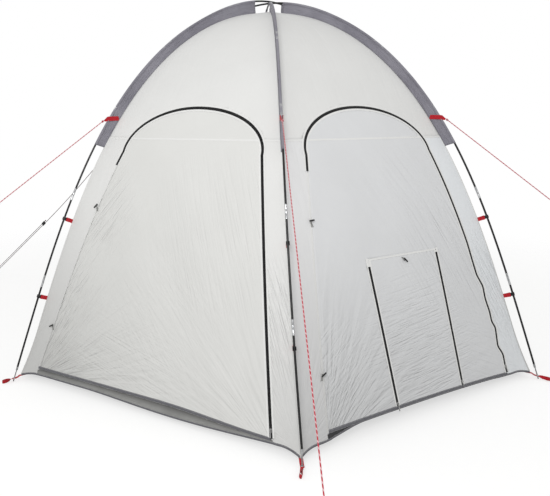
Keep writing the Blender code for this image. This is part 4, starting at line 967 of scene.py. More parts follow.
def band(name, panel, first, second, low, high, material=SEAM_CLOTH, cut=False):
    """Flat strip between two lines on a panel, from one lift to another."""
    (u0, a0), (u1, a1) = first, second
    sides = [panel_surface(panel, u, a, lift)
             for u, a, lift in ((u0, a0, low), (u0, a0, high), (u1, a1, high), (u1, a1, low))]
    width = np.hypot(u1 - u0, a1 - a0).mean()
    edge = float(np.mean(high - low))
    uvs = strip_uvs([0, edge, edge + width, 2 * edge + width], distances(sides[0]))
    if cut:
        uvs = np.stack([pair(u0, a0), pair(u0, a0), pair(u1, a1), pair(u1, a1)], 1)
    return closed_loft(name, np.stack(sides, 1), material, uvs)


def closed_loft(name, rings, material, uvs=None, smooth=False, sharp=None):
    """Skin over rings of points, capped and facing out, with edges sharper than an angle left hard."""
    rings = np.array([[tuple(point) for point in ring] for ring in rings], float)
    count, around = rings.shape[:2]
    faces = grid_faces(count, around, around=True)
    faces += [tuple(range(around)), tuple(range((count - 1) * around, count * around))[::-1]]
    made = turn_out(skin(name, rings, faces, material, uvs, smooth))
    return made if sharp is None else crisp(made, sharp)


def bevelled(made, width):
    """Round a hard piece's edges."""
    step = made.modifiers.new("edges", "BEVEL")
    step.width = width
    step.segments = 2
    step.limit_method = "ANGLE"
    step.angle_limit = radians(40)
    return crisp(settle(made), 40)


def swept(name, points, radius, sides, material):
    """Round bar along points, its coordinates in turns round it and metres along it."""
    points = np.asarray([tuple(p) for p in points], float)
    ways = np.gradient(points, axis=0)
    ways /= np.linalg.norm(ways, axis=1)[:, None]
    normal = np.cross(ways[0], (0.0, 0.0, 1.0))
    if np.linalg.norm(normal) < 0.1:
        normal = np.cross(ways[0], (1.0, 0.0, 0.0))
    turn = np.arange(sides) / sides * 2 * pi
    rings = []
    for point, way in zip(points, ways):
        normal = normal - way * normal.dot(way)
        normal /= np.linalg.norm(normal)
        other = np.cross(way, normal)
        rings.append(point + radius * (np.cos(turn)[:, None] * normal + np.sin(turn)[:, None] * other))
    uvs = strip_uvs(np.arange(sides) / sides, distances(points))
    return closed_loft(name, rings, material, uvs, smooth=True)


def ring_stack(name, centre, way, stations, sides):
    """Turned piece: rings of given radius at given places along a straight axis."""
    way = Vector(way).normalized()
    side = way.orthogonal().normalized()
    other = way.cross(side)
    turns = np.linspace(0, 2 * pi, sides + 1)[:-1]
    rings = [[centre + way * place + (side * cos(t) + other * sin(t)) * radius for t in turns]
             for place, radius in stations]
    return closed_loft(name, rings, STEEL, smooth=True)


def bent_strap(name, line, thick, put, across):
    """Webbing along a bent line of x and y; put places each corner, across holds their coordinates."""
    rings, uvs, run = [], [], 0.0
    for i, (x, y) in enumerate(line):
        before, after = line[max(i - 1, 0)], line[min(i + 1, len(line) - 1)]
        way = Vector((after[0] - before[0], after[1] - before[1]))
        way = way.normalized() if way.length > 1e-6 else Vector((0.0, -1.0))
        dx, dy = way.y * thick, -way.x * thick
        run += 0.0 if i == 0 else dist(line[i - 1], line[i])
        rings.append([put(x, y, 0.0, 0.0, -1), put(x, y, dx, dy, -1), put(x, y, dx, dy, 1),
                      put(x, y, 0.0, 0.0, 1)])
        uvs.append([(v, run) for v in across])
    return closed_loft(name, rings, RED_WEBBING, uvs, sharp=50)


def stay(piece, slot=None, node=None):
    """Fix a piece to the frame and canopy, and hide the solid that it replaces. The slot is not used."""
    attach(piece, "frame_and_canopy")
    if node is not None:
        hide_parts(node)
    return piece


def dress(names, finish):
    """Give solids whose shape is right their finish."""
    for name in names:
        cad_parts[name].data.materials.clear()
        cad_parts[name].data.materials.append(finish)


def all_nodes(ending):
    """Names of the solids that end in a word."""
    return [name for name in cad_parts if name.endswith(ending)]


def smooth_route(points, steps):
    """Points along a smooth curve through the route's own points."""
    padded = [points[0] * 2 - points[1], *points, points[-1] * 2 - points[-2]]
    route = []
    for a, b, c, d in zip(padded, padded[1:], padded[2:], padded[3:]):
        for i in range(steps):
            t = i / steps
            route.append(0.5 * ((b * 2) + (c - a) * t + (a * 2 - b * 5 + c * 4 - d) * t * t
                                + (b * 3 - a - c * 3 + d) * t ** 3))
    route.append(points[-1])
    return route


def joined(name, pieces):
    """Join pieces of one body and one finish into one mesh."""
    bm = bmesh.new()
    for piece in pieces:
        bm.from_mesh(piece.data)
    mesh = bpy.data.meshes.new(name)
    bm.to_mesh(mesh)
    bm.free()
    material = pieces[0].data.materials[0]
    for piece in pieces:
        bpy.data.objects.remove(piece, do_unlink=True)
    return new_object(name, mesh, material)


def frame_matrix(x_axis, y_axis, z_axis, origin):
    """Matrix that places a piece by its three axes and its origin."""
    return Matrix.Translation(origin) @ Matrix((x_axis, y_axis, z_axis)).transposed().to_4x4()


# Camera, light and ground

def look():
    """Camera at the photograph's place and angle."""
    yaw, pitch, roll = map(radians, CAMERA_ANGLES)
    forward = Vector((sin(yaw) * cos(pitch), cos(yaw) * cos(pitch), -sin(pitch)))
    right = Vector((cos(yaw), -sin(yaw), 0.0))
    above = right.cross(forward)
    tilted = right * cos(roll) + above * sin(roll)
    lens = bpy.data.cameras.new("camera")
    lens.sensor_width = FILM_WIDTH
    lens.lens = FOCAL_LENGTH * FILM_WIDTH / VIEW_WIDTH
    lens.shift_x = VIEW_SHIFT / VIEW_WIDTH
    lens.clip_end = 200.0
    camera = bpy.data.objects.new("camera", lens)
    bpy.context.scene.collection.objects.link(camera)
    camera.matrix_world = frame_matrix(tilted, above * cos(roll) - right * sin(roll), -forward, CAMERA_PLACE)
    bpy.context.scene.camera = camera


def area_light(name, place, target, size, power):
    """Soft box that points at a target."""
    lamp = bpy.data.lights.new(name, "AREA")
    lamp.size = size
    lamp.energy = power
    made = bpy.data.objects.new(name, lamp)
    bpy.context.scene.collection.objects.link(made)
    made.location = place
    made.rotation_euler = (Vector(target) - Vector(place)).to_track_quat("-Z", "Y").to_euler()


def only_seen(tree, low, high):
    """One value for what lights the tent and another for what the camera sees."""
    seen = add(tree, "ShaderNodeLightPath").outputs["Is Camera Ray"]
    return add(tree, "ShaderNodeMapRange", {"Value": seen, "To Min": low, "To Max": high}).outputs[0]


def studio():
    """Pale ground that fades into an even pale surround, with soft light from high on the left."""
    world = bpy.data.worlds.new("studio")
    world.use_nodes = True
    surround = world.node_tree.nodes["Background"]
    surround.inputs["Color"].default_value = colour("FFFFFF")
    wire(world.node_tree, surround, Strength=only_seen(world.node_tree, AMBIENT, 1.0))
    bpy.context.scene.world = world
    bpy.context.scene.view_settings.view_transform = "Standard"
    area_light("key", KEY_PLACE, KEY_TARGET, KEY_SIZE, KEY_POWER)
    turn = np.linspace(0, 2 * pi, 97)[:-1]
    rings = np.array([[(r * cos(t), r * sin(t), -0.0006) for t in turn] for r in FLOOR_RINGS])
    faces = grid_faces(len(FLOOR_RINGS), 96, around=True) + [tuple(range(96))[::-1]]
    # Matt pale floor: it glows for the camera only and thins out to the surround, so no horizon shows.
    material, tree, shader = new_material("pale_studio_floor", Roughness=0.95, Specular_IOR_Level=0.1,
                                          Base_Color=colour("B4B4B3"), Emission_Color=colour("FFFFFF"))
    floor = skin("studio_floor", rings, [face[::-1] for face in faces], material)
    where = add(tree, "ShaderNodeTexCoord").outputs["Object"]
    far = add(tree, "ShaderNodeVectorMath", {0: where}, operation="LENGTH").outputs["Value"]
    start, end = FLOOR_FADE
    thin = add(tree, "ShaderNodeMapRange", {"Value": far, "From Min": start, "From Max": end, "To Min": 1.0,
                                            "To Max": 0.0}, interpolation_type="SMOOTHSTEP").outputs[0]
    wire(tree, shader, Emission_Strength=only_seen(tree, 0.0, FLOOR_GLOW), Alpha=thin)


look()
studio()


# Guy ropes come first

def loop_frame(corner):
    """Frame of a guy loop: X outwards and a little down, Y across it, Z up its width."""
    radial = polar(corner * STEP, 1.0, 0.0)
    along = radial * cos(LOOP_DROP) - UP * sin(LOOP_DROP)
    across = UP.cross(radial)
    return frame_matrix(along, across, along.cross(across), pole_point(corner, GUY_ARC))


def rope_start(corner, down):
    """Where a rope meets the end of its guy loop."""
    place = loop_frame(corner)
    along = place.col[0].to_3d()
    tilt = along.cross(down.normalized()).length
    return place.translation + along * (LOOP_REACH + ROPE_DIAMETER / 2 * tilt + FIT)


def route_length(route):
    """Length of a line of points."""
    return sum((b - a).length for a, b in zip(route, route[1:]))


def knot(name, centre, way, radius, turns, finish=ROPE):
    """Small tied knot: the rope wound closely round itself."""
    way = way.normalized()
    side = way.orthogonal().normalized()
    other = way.cross(side)
    points = []
    for i in range(turns * 12 + 1):
        turn = i / 12 * 2 * pi
        lift = (i / 12 - turns / 2) * ROPE_DIAMETER * 0.92
        points.append(centre + way * lift + (side * cos(turn) + other * sin(turn)) * radius)
    return stay(swept(name, points, ROPE_DIAMETER * 0.42, 8, finish), "guy_cord")


def guy_rope(name, route, finish=ROPE):
    """A taut guy rope along its route."""
    made = stay(swept(name + "_rope", route, ROPE_DIAMETER / 2, 12, finish), "guy_cord", name + "_guy_rope")
    tuple(route[0])
    route_length(route)
    [tuple(p) for p in route]


def front_ropes():
    """Three guy ropes that end in a tied eye outside the view."""
    for name, (corner, heading, fall, reach) in ROPE_RUNS.items():
        radial = polar(corner * STEP + heading, 1.0, 0.0)
        down = (radial - UP * fall).normalized()
        start = rope_start(corner, down)
        across = (UP - down * UP.dot(down)).normalized()
        length = (reach - start.dot(radial)) / down.dot(radial)
        straight = [start + down * length * i / 14 for i in range(14)]
        end = start + down * length
        eye = [end + down * x + across * y for x, y in EYE_POINTS]
        route = straight + smooth_route(eye, 6)
        tie = knot(name + "_guy_rope_eye_knot", end + down * 0.016 - across * 0.004, down,
                   ROPE_DIAMETER * 1.25, 4)
        hitch = knot(name + "_guy_rope_hitch", start + down * 0.012, down, ROPE_DIAMETER * 0.98, 2)
        guy_rope(name, route)


def back_rope():
    """Guy rope that sags to its runner, then runs round the peg's place and back."""
    radial = polar(BACK_ROPE_CORNER * STEP, 1.0, 0.0)
    down = (radial - UP * BACK_ROPE_FALL).normalized()
    start = rope_start(BACK_ROPE_CORNER, radial - UP)
    across = (UP - down * UP.dot(down)).normalized()
    turn = STRAND_SPACING / 2
    reach = RUNNER_RADIUS - start.dot(radial)
    first_fall = 2 * (start.z - RUNNER_HEIGHT) / reach - BACK_ROPE_FALL
    sag = []
    for i in range(16):
        share = i / 16
        drop = first_fall * share + (BACK_ROPE_FALL - first_fall) * share * share / 2
        sag.append(start + (radial * share - UP * drop) * reach)
    runner = radial * RUNNER_RADIUS + UP * RUNNER_HEIGHT
    length = (RUNNER_HEIGHT - BACK_ROPE_GROUND) / -down.z
    end = runner + down * length
    bend = [end + down * 0.022 * sin(a) + across * (turn - (turn + 0.006 * sin(a)) * cos(a))
            for a in np.linspace(0, pi, 13)]
    tail = length + RUNNER_LENGTH / 2 + RUNNER_TAIL
    back = [end - down * t + across * STRAND_SPACING for t in np.linspace(0.02, tail, 8)]
    single = [runner - down * RUNNER_LENGTH, runner, *[runner + down * length * i / 8 for i in range(1, 8)]]
    route = sag[:-1] + single + bend + back
    stopper = knot("left_back_guy_rope_stopper", back[-1] - down * 0.001, down, ROPE_DIAMETER * 0.62, 2,
                   BACKLIT_ROPE)
    hitch = knot("left_back_guy_rope_hitch", start + (sag[1] - start).normalized() * 0.012, sag[1] - start,
                 ROPE_DIAMETER * 0.98, 2, BACKLIT_ROPE)
    guy_rope("left_back", route, BACKLIT_ROPE)


front_ropes()
back_rope()
dress(["guy_rope_runner"], ACETAL)


# Cloth

def outline_area(outline):
    """Flat area of a cut piece."""
    u, a = np.asarray(outline)[:, 0], np.asarray(outline)[:, 1]
    return abs(float(np.dot(u, np.roll(a, -1)) - np.dot(a, np.roll(u, -1)))) / 2


def cloth_sheet(name, panel, u, a, keep, material, lines, out=0.0):
    """Grid of cloth on a panel, creased, and thickened outwards."""
    points = panel_surface(panel, u, a, creases(panel, u, a) * calm(u, a, lines) + out)
    made = skin(name, points, grid_faces(*u.shape, keep), material, np.stack([u, a], -1))
    return thicken(drop_loose(made), CLOTH)


def wall(panel):
    """One wall from hem to seam, two of them with a doorway."""
    name = PANEL_NAMES[panel] + "_wall"
    rows, columns = (122, 150) if panel in DOORS else (84, 104)
    spread = np.linspace(-1, 1, columns)
    share = np.linspace(0, 1, rows)[:, None]
    a = hem_arc(panel, spread * LOW_HALF)[None, :] * (1 - share) + SEAM_ARC * share
    u = spread[None, :] * (half_width(a) - FIT)
    lines = [(pair(u[i], a[i]), 0.05) for i in (0, -1)] + [(pair(u[:, i], a[:, i]), 0.03) for i in (0, -1)]
    keep = None
    area = outline_area(np.concatenate([pair(u[0], a[0]), pair(u[1:, -1], a[1:, -1]),
                                        pair(u[-1, ::-1][1:], a[-1, ::-1][1:]),
                                        pair(u[::-1, 0][1:-1], a[::-1, 0][1:-1])]))
    if panel in DOORS:
        hole = doorway(panel)
        u, a, keep = trim(u, a, hole, False)
        lines.append((closed(hole), 0.02))
        area = area - outline_area(np.minimum(hole, [9, SEAM_ARC]))
        width = 2 * float(half_width(SEAM_ARC))
    made = cloth_sheet(name + "_cloth", panel, u, a, keep, PAINTED_COOL_CANVAS if panel == 0 else CANVAS, lines,
                       sill_set(panel, u, height_at(a)))
    stay(made, "canopy_cloth", name)


def roof():
    """Roof of six gores from the seam to the crown, one continuous sheet."""
    rows, columns = 96, 60
    pieces, area = [], 0.0
    run = np.linspace(SEAM_ARC, HALF_POLE, 60)
    for panel in range(6):
        share = np.linspace(0, 1, rows)[:, None] ** 0.9
        a = SEAM_ARC + (HALF_POLE - SEAM_ARC) * share + np.zeros((1, columns))
        u = np.linspace(-1, 1, columns)[None, :] * half_width(a)
        area += outline_area(np.concatenate([pair(u[:, 0], a[:, 0]), pair(u[::-1, -1], a[::-1, -1])]))
        keep = None
        lines = [(pair(way * half_width(run), run), 0.04) for way in (-1, 1)]
        lines.append((SEAM_LINE, 0.04))
        if panel in DOORS:
            outline = doorway(panel)
            area -= outline_area(np.maximum(outline, [-9, SEAM_ARC]))
            u, a, keep = trim(u, a, outline, False)
            lines.append((closed(outline), 0.04))
        ripple = sum(0.0011 * fan(u, a, (way * float(half_width(GUY_ARC)), GUY_ARC), 0.6, 8, 80 + panel + way)
                     for way in (-1, 1))
        ripple = ripple + 0.0007 * streaks(u, a, 80, 0.06, 0.5, 90 + panel)
        points = panel_surface(panel, u, a, ripple * calm(u, a, lines))
        pieces.append(skin("gore", points, grid_faces(rows, columns, keep), CANVAS,
                           np.stack([u + panel * 2.0, a], -1)))
    made = drop_loose(joined("roof_cloth", pieces))
    made.data.shade_smooth()
    stay(thicken(made, CLOTH), "canopy_cloth", "roof_canopy")


def hinge_line(panel):
    """Axis of a door's swing: parallel to its sewn edge and outside every point of it."""
    def edge(height):
        return Vector(panel_surface(panel, hinge_side(panel, height), arc_at(height)))

    low = edge(DOOR_BOTTOM)
    axis = (edge(ZIP_END) - low).normalized()
    side = Vector(panel_axes(panel)[1])
    normal = side.cross(axis).normalized()
    inwards = axis.cross(normal).normalized()
    inwards = inwards if inwards.dot(side) > 0 else -inwards
    places = [edge(height) - low for height in np.linspace(DOOR_BOTTOM, ZIP_END, 40)]
    proud, wide = (max(place.dot(way) for place in places) for way in (normal, inwards))
    return low + normal * (proud + HEM_THICKNESS), axis, inwards, wide


def hang_door(piece, panel):
    """Bake the placement of a piece of the door into its mesh."""
    low, axis, inwards, wide = hinge_line(panel)
    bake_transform(piece)


def door(panel):
    """Arched door of cloth, sewn on at its hinge side, with the flap's opening in one."""
    name = DOORS[panel]
    rows, columns = 134, 118
    share = np.linspace(0, 1, columns)[None, :]
    rise = np.linspace(0, 1, rows)[:, None]
    left, right = DOOR_FEET[panel]
    z = door_low(panel, left * (1 - share) + right * share) * (1 - rise) + (ARCH_SPRING + ARCH_RISE) * rise
    capped = np.minimum(z, ARCH_SPRING)
    u = hinge_side(panel, capped) * (1 - share) + zip_side(panel, capped) * share
    a = arc_at(z)
    rest = np.arange(ZIP_END, float(door_low(panel, -1.0)) + 0.004, -EDGE_STEP)
    outline = np.concatenate([pair(*door_route(panel, 0.0)), pair(hinge_side(panel, rest), arc_at(rest)),
                              pair(u[0], a[0])])
    lines = [(closed(outline), 0.03), (SEAM_LINE, 0.03)]
    area = outline_area(outline)
    above = a > arc_at(ARCH_SPRING)
    trimmed_u, trimmed_a, keep = trim(u, a, outline, True)
    u, a = np.where(above, trimmed_u, u), np.where(above, trimmed_a, a)
    keep = keep | ~above
    if panel == FLAP_PANEL:
        hole = flap_outline(ZIP_GAP, FIT, -0.05)
        u, a, kept = trim(u, a, hole, False)
        keep = keep & kept
        lines.append((closed(hole), 0.03))
        area -= (FLAP_RIGHT - FLAP_LEFT) * float(arc_at(FLAP_TOP) - arc_at(DOOR_BOTTOM))
    made = cloth_sheet(name + "_cloth", panel, u, a, keep, DOOR_CANVASES[panel], lines)
    hang_door(made, panel)
    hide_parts(name)


def flap_outline(side_growth, top_growth, drop):
    """Closed outline of the flap, grown at its sides, its top and its foot."""
    u0, u1 = FLAP_LEFT - side_growth, FLAP_RIGHT + side_growth
    top = float(arc_at(FLAP_TOP + top_growth))
    foot = np.linspace(u0, u1, 30)
    low = arc_at(door_low(FLAP_PANEL, foot)) + drop
    return np.concatenate([pair(u1, np.linspace(low[-1], top, 40)), pair(np.linspace(u1, u0, 20)[1:-1], top),
                           pair(u0, np.linspace(top, low[0], 40)), pair(foot[1:-1], low[1:-1])])


def hang_flap(piece):
    """Bake the placement of a piece of the flap into its mesh."""
    middle = (FLAP_LEFT + FLAP_RIGHT) / 2
    top, low = (Vector(panel_surface(FLAP_PANEL, middle, arc_at(z))) for z in (FLAP_TOP, DOOR_BOTTOM))
    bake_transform(piece)


def on_right_door(piece):
    """Let a piece ride on the right door."""
    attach(piece, "right_door")


def flap():
    """Small flap in the right door, sewn on at its top."""
    rows, columns = 74, 52
    u = np.linspace(FLAP_LEFT, FLAP_RIGHT, columns)[None, :] + np.zeros((rows, 1))
    rise = np.linspace(0, 1, rows)[:, None]
    a = arc_at(door_low(FLAP_PANEL, u)) * (1 - rise) + float(arc_at(FLAP_TOP)) * rise
    made = cloth_sheet("pass_through_flap_cloth", FLAP_PANEL, u, a, None, DOOR_CANVASES[FLAP_PANEL],
                       [(closed(flap_outline(0.0, 0.0, 0.0)), 0.03)])
    hang_flap(made)
    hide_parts("pass_through_flap")


roof()
for panel_number in range(6):
    wall(panel_number)
for panel_number in DOORS:
    door(panel_number)
flap()


# Sleeves, guy loops and poles

def sleeve(corner):
    """Sewn pole sleeve: a flat web from the ridge, and a tube round the pole."""
    name = CORNER_NAMES[corner] + "_sleeve"
    last = HALF_POLE - SLEEVE_CROWN_GAP
    arcs = np.arange(SLEEVE_START, last, 0.014)
    arcs = np.append(arcs[arcs < last - 0.007], last)
    side = np.array(polar(corner * STEP + pi / 2, 1.0, 0.0))
    rings, uvs = [], []
    for arc in arcs:
        slant = 0.010 * max(0.0, 1 - (arc - SLEEVE_START) / 0.05)
        centre, seat = np.array(pole_point(corner, arc)), np.array(ridge_point(corner, arc, CLOTH + FIT))
        reach = np.linalg.norm(seat - centre)
        inward = (seat - centre) / reach
        rod = np.array(pole_point(corner, arc + 0.01) - pole_point(corner, arc - 0.01)) / 0.02
        flat_part = np.linspace(reach, SLEEVE_RADIUS * 1.5, 9)
        near = [(min(x, reach - 0.0008), x) for x in flat_part]
        places = [(reach, 0.0052, 0.0)] + [(at, 0.0014, reach - x + 0.005) for at, x in near]
        places += [(SLEEVE_RADIUS * cos(t), SLEEVE_RADIUS * sin(t), reach + t * SLEEVE_RADIUS)
                   for t in map(radians, SLEEVE_TURNS)]
        places += [(at, -0.0014, reach + 0.045 + x) for at, x in reversed(near)]
        places.append((reach, -0.0052, 2 * reach + 0.06))
        ring = []
        for x, y, _ in places:
            wave = 0.0022 * float(grain(np.array(x * 40 + 9), np.array(arc * 9), 100 + corner))
            wave += 0.0014 * float(grain(np.array(x * 110 + 9), np.array(arc * 16), 110 + corner))
            damp = min(max((x - SLEEVE_RADIUS) / 0.010, 0.0), 1.0) * min(max((reach - x) / 0.008, 0.0), 1.0)
            push = slant * (reach - x) / reach
            ring.append(centre + inward * x + side * (y + wave * damp) - rod * push)
        rings.append(ring)
        uvs.append([(v, arc) for _, _, v in places])
    made = skin(name + "_cloth", rings, grid_faces(len(rings), len(rings[0])), SLEEVE_CLOTH, uvs)
    face_out(made, Vector(pole_point(corner, float(arcs[len(arcs) // 2]))))
    stay(thicken(made, 0.0008, -1.0), "sleeve_cloth", name)


def face_out(made, centre):
    """Turn an open sheet's faces away from the line that it wraps."""
    near = [polygon for polygon in made.data.polygons if (polygon.center - centre).length < 0.2]
    if sum(polygon.normal.dot(polygon.center - centre) for polygon in near) < 0:
        made.data.flip_normals()


def pole(corner):
    """Black fibreglass pole over the crown, with steel ferrules at its joints and steel tips."""
    name = POLE_NAMES[corner]
    far = 2 * HALF_POLE

    def at(arc):
        return pole_point(corner + 3, far - arc) if arc > far else pole_point(corner, arc)

    arcs = np.linspace(TIP_LENGTH - 0.004, far - TIP_LENGTH + 0.004, 300)
    stay(swept(name + "_rod", [at(arc) for arc in arcs], ROD / 2, 14, FIBREGLASS), "pole_rod", name)
    length = (far - 2 * TIP_LENGTH) / POLE_SECTIONS
    half, rod, wide = FERRULE_LENGTH / 2, ROD / 2, FERRULE / 2
    steel = []
    for i in range(1, POLE_SECTIONS):
        middle = TIP_LENGTH + length * i
        stations = [(-half, rod - 0.0004), (-half, wide - 0.0006), (-half + 0.0006, wide), (-0.012, wide),
                    (-0.0105, wide - 0.0005), (-0.009, wide)]
        stations += [(-place, radius) for place, radius in reversed(stations)]
        steel.append(ring_stack("ferrule", at(middle), at(middle + half) - at(middle - half), stations, 18))
    for foot, way in ((0.0, 1.0), (far, -1.0)):
        stations = [(0.0012, 0.0012), (0.0012, TIP / 2 - 0.0009), (0.0026, TIP / 2),
                    (TIP_LENGTH - 0.012, TIP / 2), (TIP_LENGTH - 0.011, rod + 0.0004),
                    (TIP_LENGTH + 0.010, rod + 0.0004), (TIP_LENGTH + 0.0105, rod - 0.0006)]
        steel.append(ring_stack("tip", at(foot), at(foot + way * TIP_LENGTH) - at(foot), stations, 18))
    stay(crisp(joined(name + "_ferrules_and_tips", steel), 40))


def guy_loop(corner):
    """Red webbing sewn round the sleeve from the ridge, drawn together into a tab for the rope."""
    place = loop_frame(corner)
    lean = float(np.interp(GUY_ARC, ARCS, LEANS))
    web = (RIDGE_GAP - 2 * CLOTH) / cos(lean - LOOP_DROP) * 0.96
    round_it = SLEEVE_RADIUS + 0.0012
    half = [(-web, 0.0028), (-web * 0.75, 0.0034), (-web * 0.5, 0.0036), (-0.019, 0.0040), (-0.012, 0.0062),
            (-0.006, round_it * 0.84), (0.0, round_it), (0.005, round_it * 0.92), (0.010, round_it * 0.66),
            (0.016, 0.0044), (0.022, 0.0030), (0.028, 0.0026), (LOOP_REACH - 0.002, 0.0022),
            (LOOP_REACH, 0.0)]

    def put(x, y, dx, dy, side):
        taper = min(max((x - 0.010) / (LOOP_REACH - 0.010), 0.0), 1.0)
        wide = LOOP_WIDTH / 2 * (1 - 0.62 * taper)
        sink = -0.004 * taper
        if x < 0.0:
            x, sink = x * 1.09, x * tan(LOOP_DROP)
        return place @ Vector((x - dx, y - dy, side * wide + sink))

    line = half + [(x, -y) for x, y in reversed(half[:-1])]
    stay(bent_strap(CORNER_NAMES[corner] + "_guy_loop", line, 0.0011, put, (0.0, 0.001, 0.021, 0.022)),
         "foot_webbing")


for corner_number in range(6):
    sleeve(corner_number)
    guy_loop(corner_number)
for corner_number in range(3):
    pole(corner_number)


# Zips

def zip_half(name, panel, tape, tooth_line, lead, place_piece):
    """One tape of a zip and its own row of coil."""
    strip = band(name + "_tape", panel, *tape, CLOTH * 0.5, CLOTH + 0.0006, ZIP_TAPE)
    teeth = row_piece(name + "_coil", TOOTH_ROW, [panel_line(panel, *tooth_line, CLOTH + 0.0014)], 0.0030,
                      lead, (0.0021, 0.0036, 0.0024), ZIP_TEETH)
    for piece in (strip, teeth):
        place_piece(piece)
    return strip


def zip_pair(name, panel, line, turned, outside, inside, tape, facing, cover):
    """Both halves of a zip: the outside half and the inside half, each placed by its own function; a facing
    is folded back along each.
    """
    def span(near, far):
        return (line(far), line(near)) if turned else (line(near), line(far))

    outer = zip_half(name + "_outer", panel, span(OUTER_TAPE, ZIP_GAP + tape), line(OUTER_TAPE + 0.0007),
                     0.0, outside)
    zip_half(name + "_inner", panel, span(-tape, INNER_TAPE), line(INNER_TAPE - 0.0007), 0.0015, inside)
    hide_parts(name)
    for part, place, near, far in (("_outer", outside, ZIP_GAP - cover, ZIP_GAP + facing),
                                   ("_inner", inside, -facing, cover)):
        place(band(name + part + "_facing", panel, *span(near, far), CLOTH + 0.0007, CLOTH + 0.0016,
                   cut=True))


def facing_stitches(name, panel, line, growth, place):
    """Row of stitches along a zip's facing."""
    place(stitches(name + "_stitches", [panel_line(panel, *line(growth), CLOTH + 0.0019)]))


def door_zip(panel):
    """A door's zip: the outer half stays on the doorway, the inner half is placed like the door's own pieces.
    """
    name = DOORS[panel] + "_zip"
    start = float(door_low(panel, 1.0)) + TAPE_BINDING + 0.001
    cover = ZIP_COVER[panel]

    def line(growth):
        return door_route(panel, growth, start, ZIP_END + 0.001)

    def hang(piece):
        hang_door(piece, panel)

    zip_pair(name, panel, line, False, stay, hang, 0.009, 0.011, cover)
    facing_stitches(name + "_outer", panel, line, ZIP_GAP + 0.004 - cover, stay)
    facing_stitches(name + "_inner", panel, line, cover - 0.004, hang)


def flap_zips():
    """The flap's two straight zips."""
    cover = ZIP_COVER["flap"]
    for side, edge, way in (("left", FLAP_LEFT, -1), ("right", FLAP_RIGHT, 1)):
        name = "flap_zip_" + side
        low = float(arc_at(door_low(FLAP_PANEL, edge) + TAPE_BINDING + 0.001))
        run = np.linspace(low, float(arc_at(FLAP_TOP - 0.001)), 60)

        def line(growth):
            return edge + way * growth + 0.0 * run, run

        zip_pair(name, FLAP_PANEL, line, way < 0, on_right_door, hang_flap, 0.006, 0.009, cover)
        facing_stitches(name + "_outer", FLAP_PANEL, line, ZIP_GAP + 0.004 - cover, on_right_door)


for panel_number in DOORS:
    door_zip(panel_number)
flap_zips()


dress(all_nodes("_slider") + all_nodes("_puller"), ZINC)
dress([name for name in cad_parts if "toggle" in name], TOGGLE_BLACK)


# Bindings, seams and foot webbing

def binding(name, panel, u, low, width, place_piece, out=0.0):
    """Grey tape folded round a cloth's lower edge."""
    section = [(width, -0.0008), (0.002, -0.0010), (-0.0014, -0.0004), (-0.0022, 0.0007), (-0.0014, 0.0020),
               (0.002, 0.0028), (width, 0.0026), (width + 0.0003, 0.0010)]
    rings = np.stack([panel_surface(panel, u, low + rise, out + lift) for rise, lift in section], 1)
    run = np.concatenate([[0], np.cumsum(np.abs(np.diff(u)))])
    across = [0, width, width + 0.002, width + 0.003, width + 0.004, width + 0.006, 2 * width, 2 * width]
    place_piece(closed_loft(name, rings, BINDING, strip_uvs(across, run), sharp=60))


def bind_foot(name, sewn_name, panel, u, place_piece):
    """Binding and its stitches along part of a door's lower edge."""
    low = arc_at(door_low(panel, u)) + 0.0026
    binding(name, panel, u, low, TAPE_BINDING, place_piece)
    place_piece(stitches(sewn_name, [panel_line(panel, u, low + TAPE_BINDING - 0.0025, 0.0030)]))


def hems():
    """Grey binding along every wall's foot."""
    u = np.linspace(-LOW_HALF + 0.002, LOW_HALF - 0.002, 130)
    for panel, name in enumerate(PANEL_NAMES):
        low = hem_arc(panel, u)
        out = sill_set(panel, u, height_at(low))
        binding(name + "_hem_binding", panel, u, low, 0.010, stay, out)
        stay(stitches(name + "_hem_stitches", [panel_line(panel, u, low + 0.0075, 0.0030 + out)]))


def door_bindings():
    """Grey binding along the doors' and the flap's lower edges."""
    for panel, name in DOORS.items():
        def hang(piece):
            hang_door(piece, panel)

        left, right = DOOR_FEET[panel]
        spans = [(left - 0.010, right + INNER_TAPE)]
        if panel == FLAP_PANEL:
            spans = [(left + 0.001, FLAP_LEFT - OUTER_TAPE), (FLAP_RIGHT + OUTER_TAPE, right + INNER_TAPE)]
        for end, (u0, u1) in zip(("_binding", "_binding_right"), spans):
            u = np.linspace(u0, u1, max(int((u1 - u0) / EDGE_STEP), 3))
            bind_foot(name + end, name + end + "_stitches", panel, u, hang)
    bind_foot("pass_through_flap_binding", "pass_through_flap_stitches", FLAP_PANEL,
              np.linspace(FLAP_LEFT - INNER_TAPE, FLAP_RIGHT + INNER_TAPE, 44), hang_flap)


def seam_strip(name, panel, u):
    """Felled strip along the seam between roof and walls, and the lines of its stitches."""
    low, high = u * 0 + SEAM_ARC - SEAM_REACH, u * 0 + SEAM_ARC + SEAM_REACH
    strip = band(name, panel, (u, low), (u, high), CLOTH * 0.4, CLOTH + 0.0006, cut=True)
    return strip, [panel_line(panel, u, a, CLOTH + 0.0010) for a in (low + 0.002, high - 0.002)]


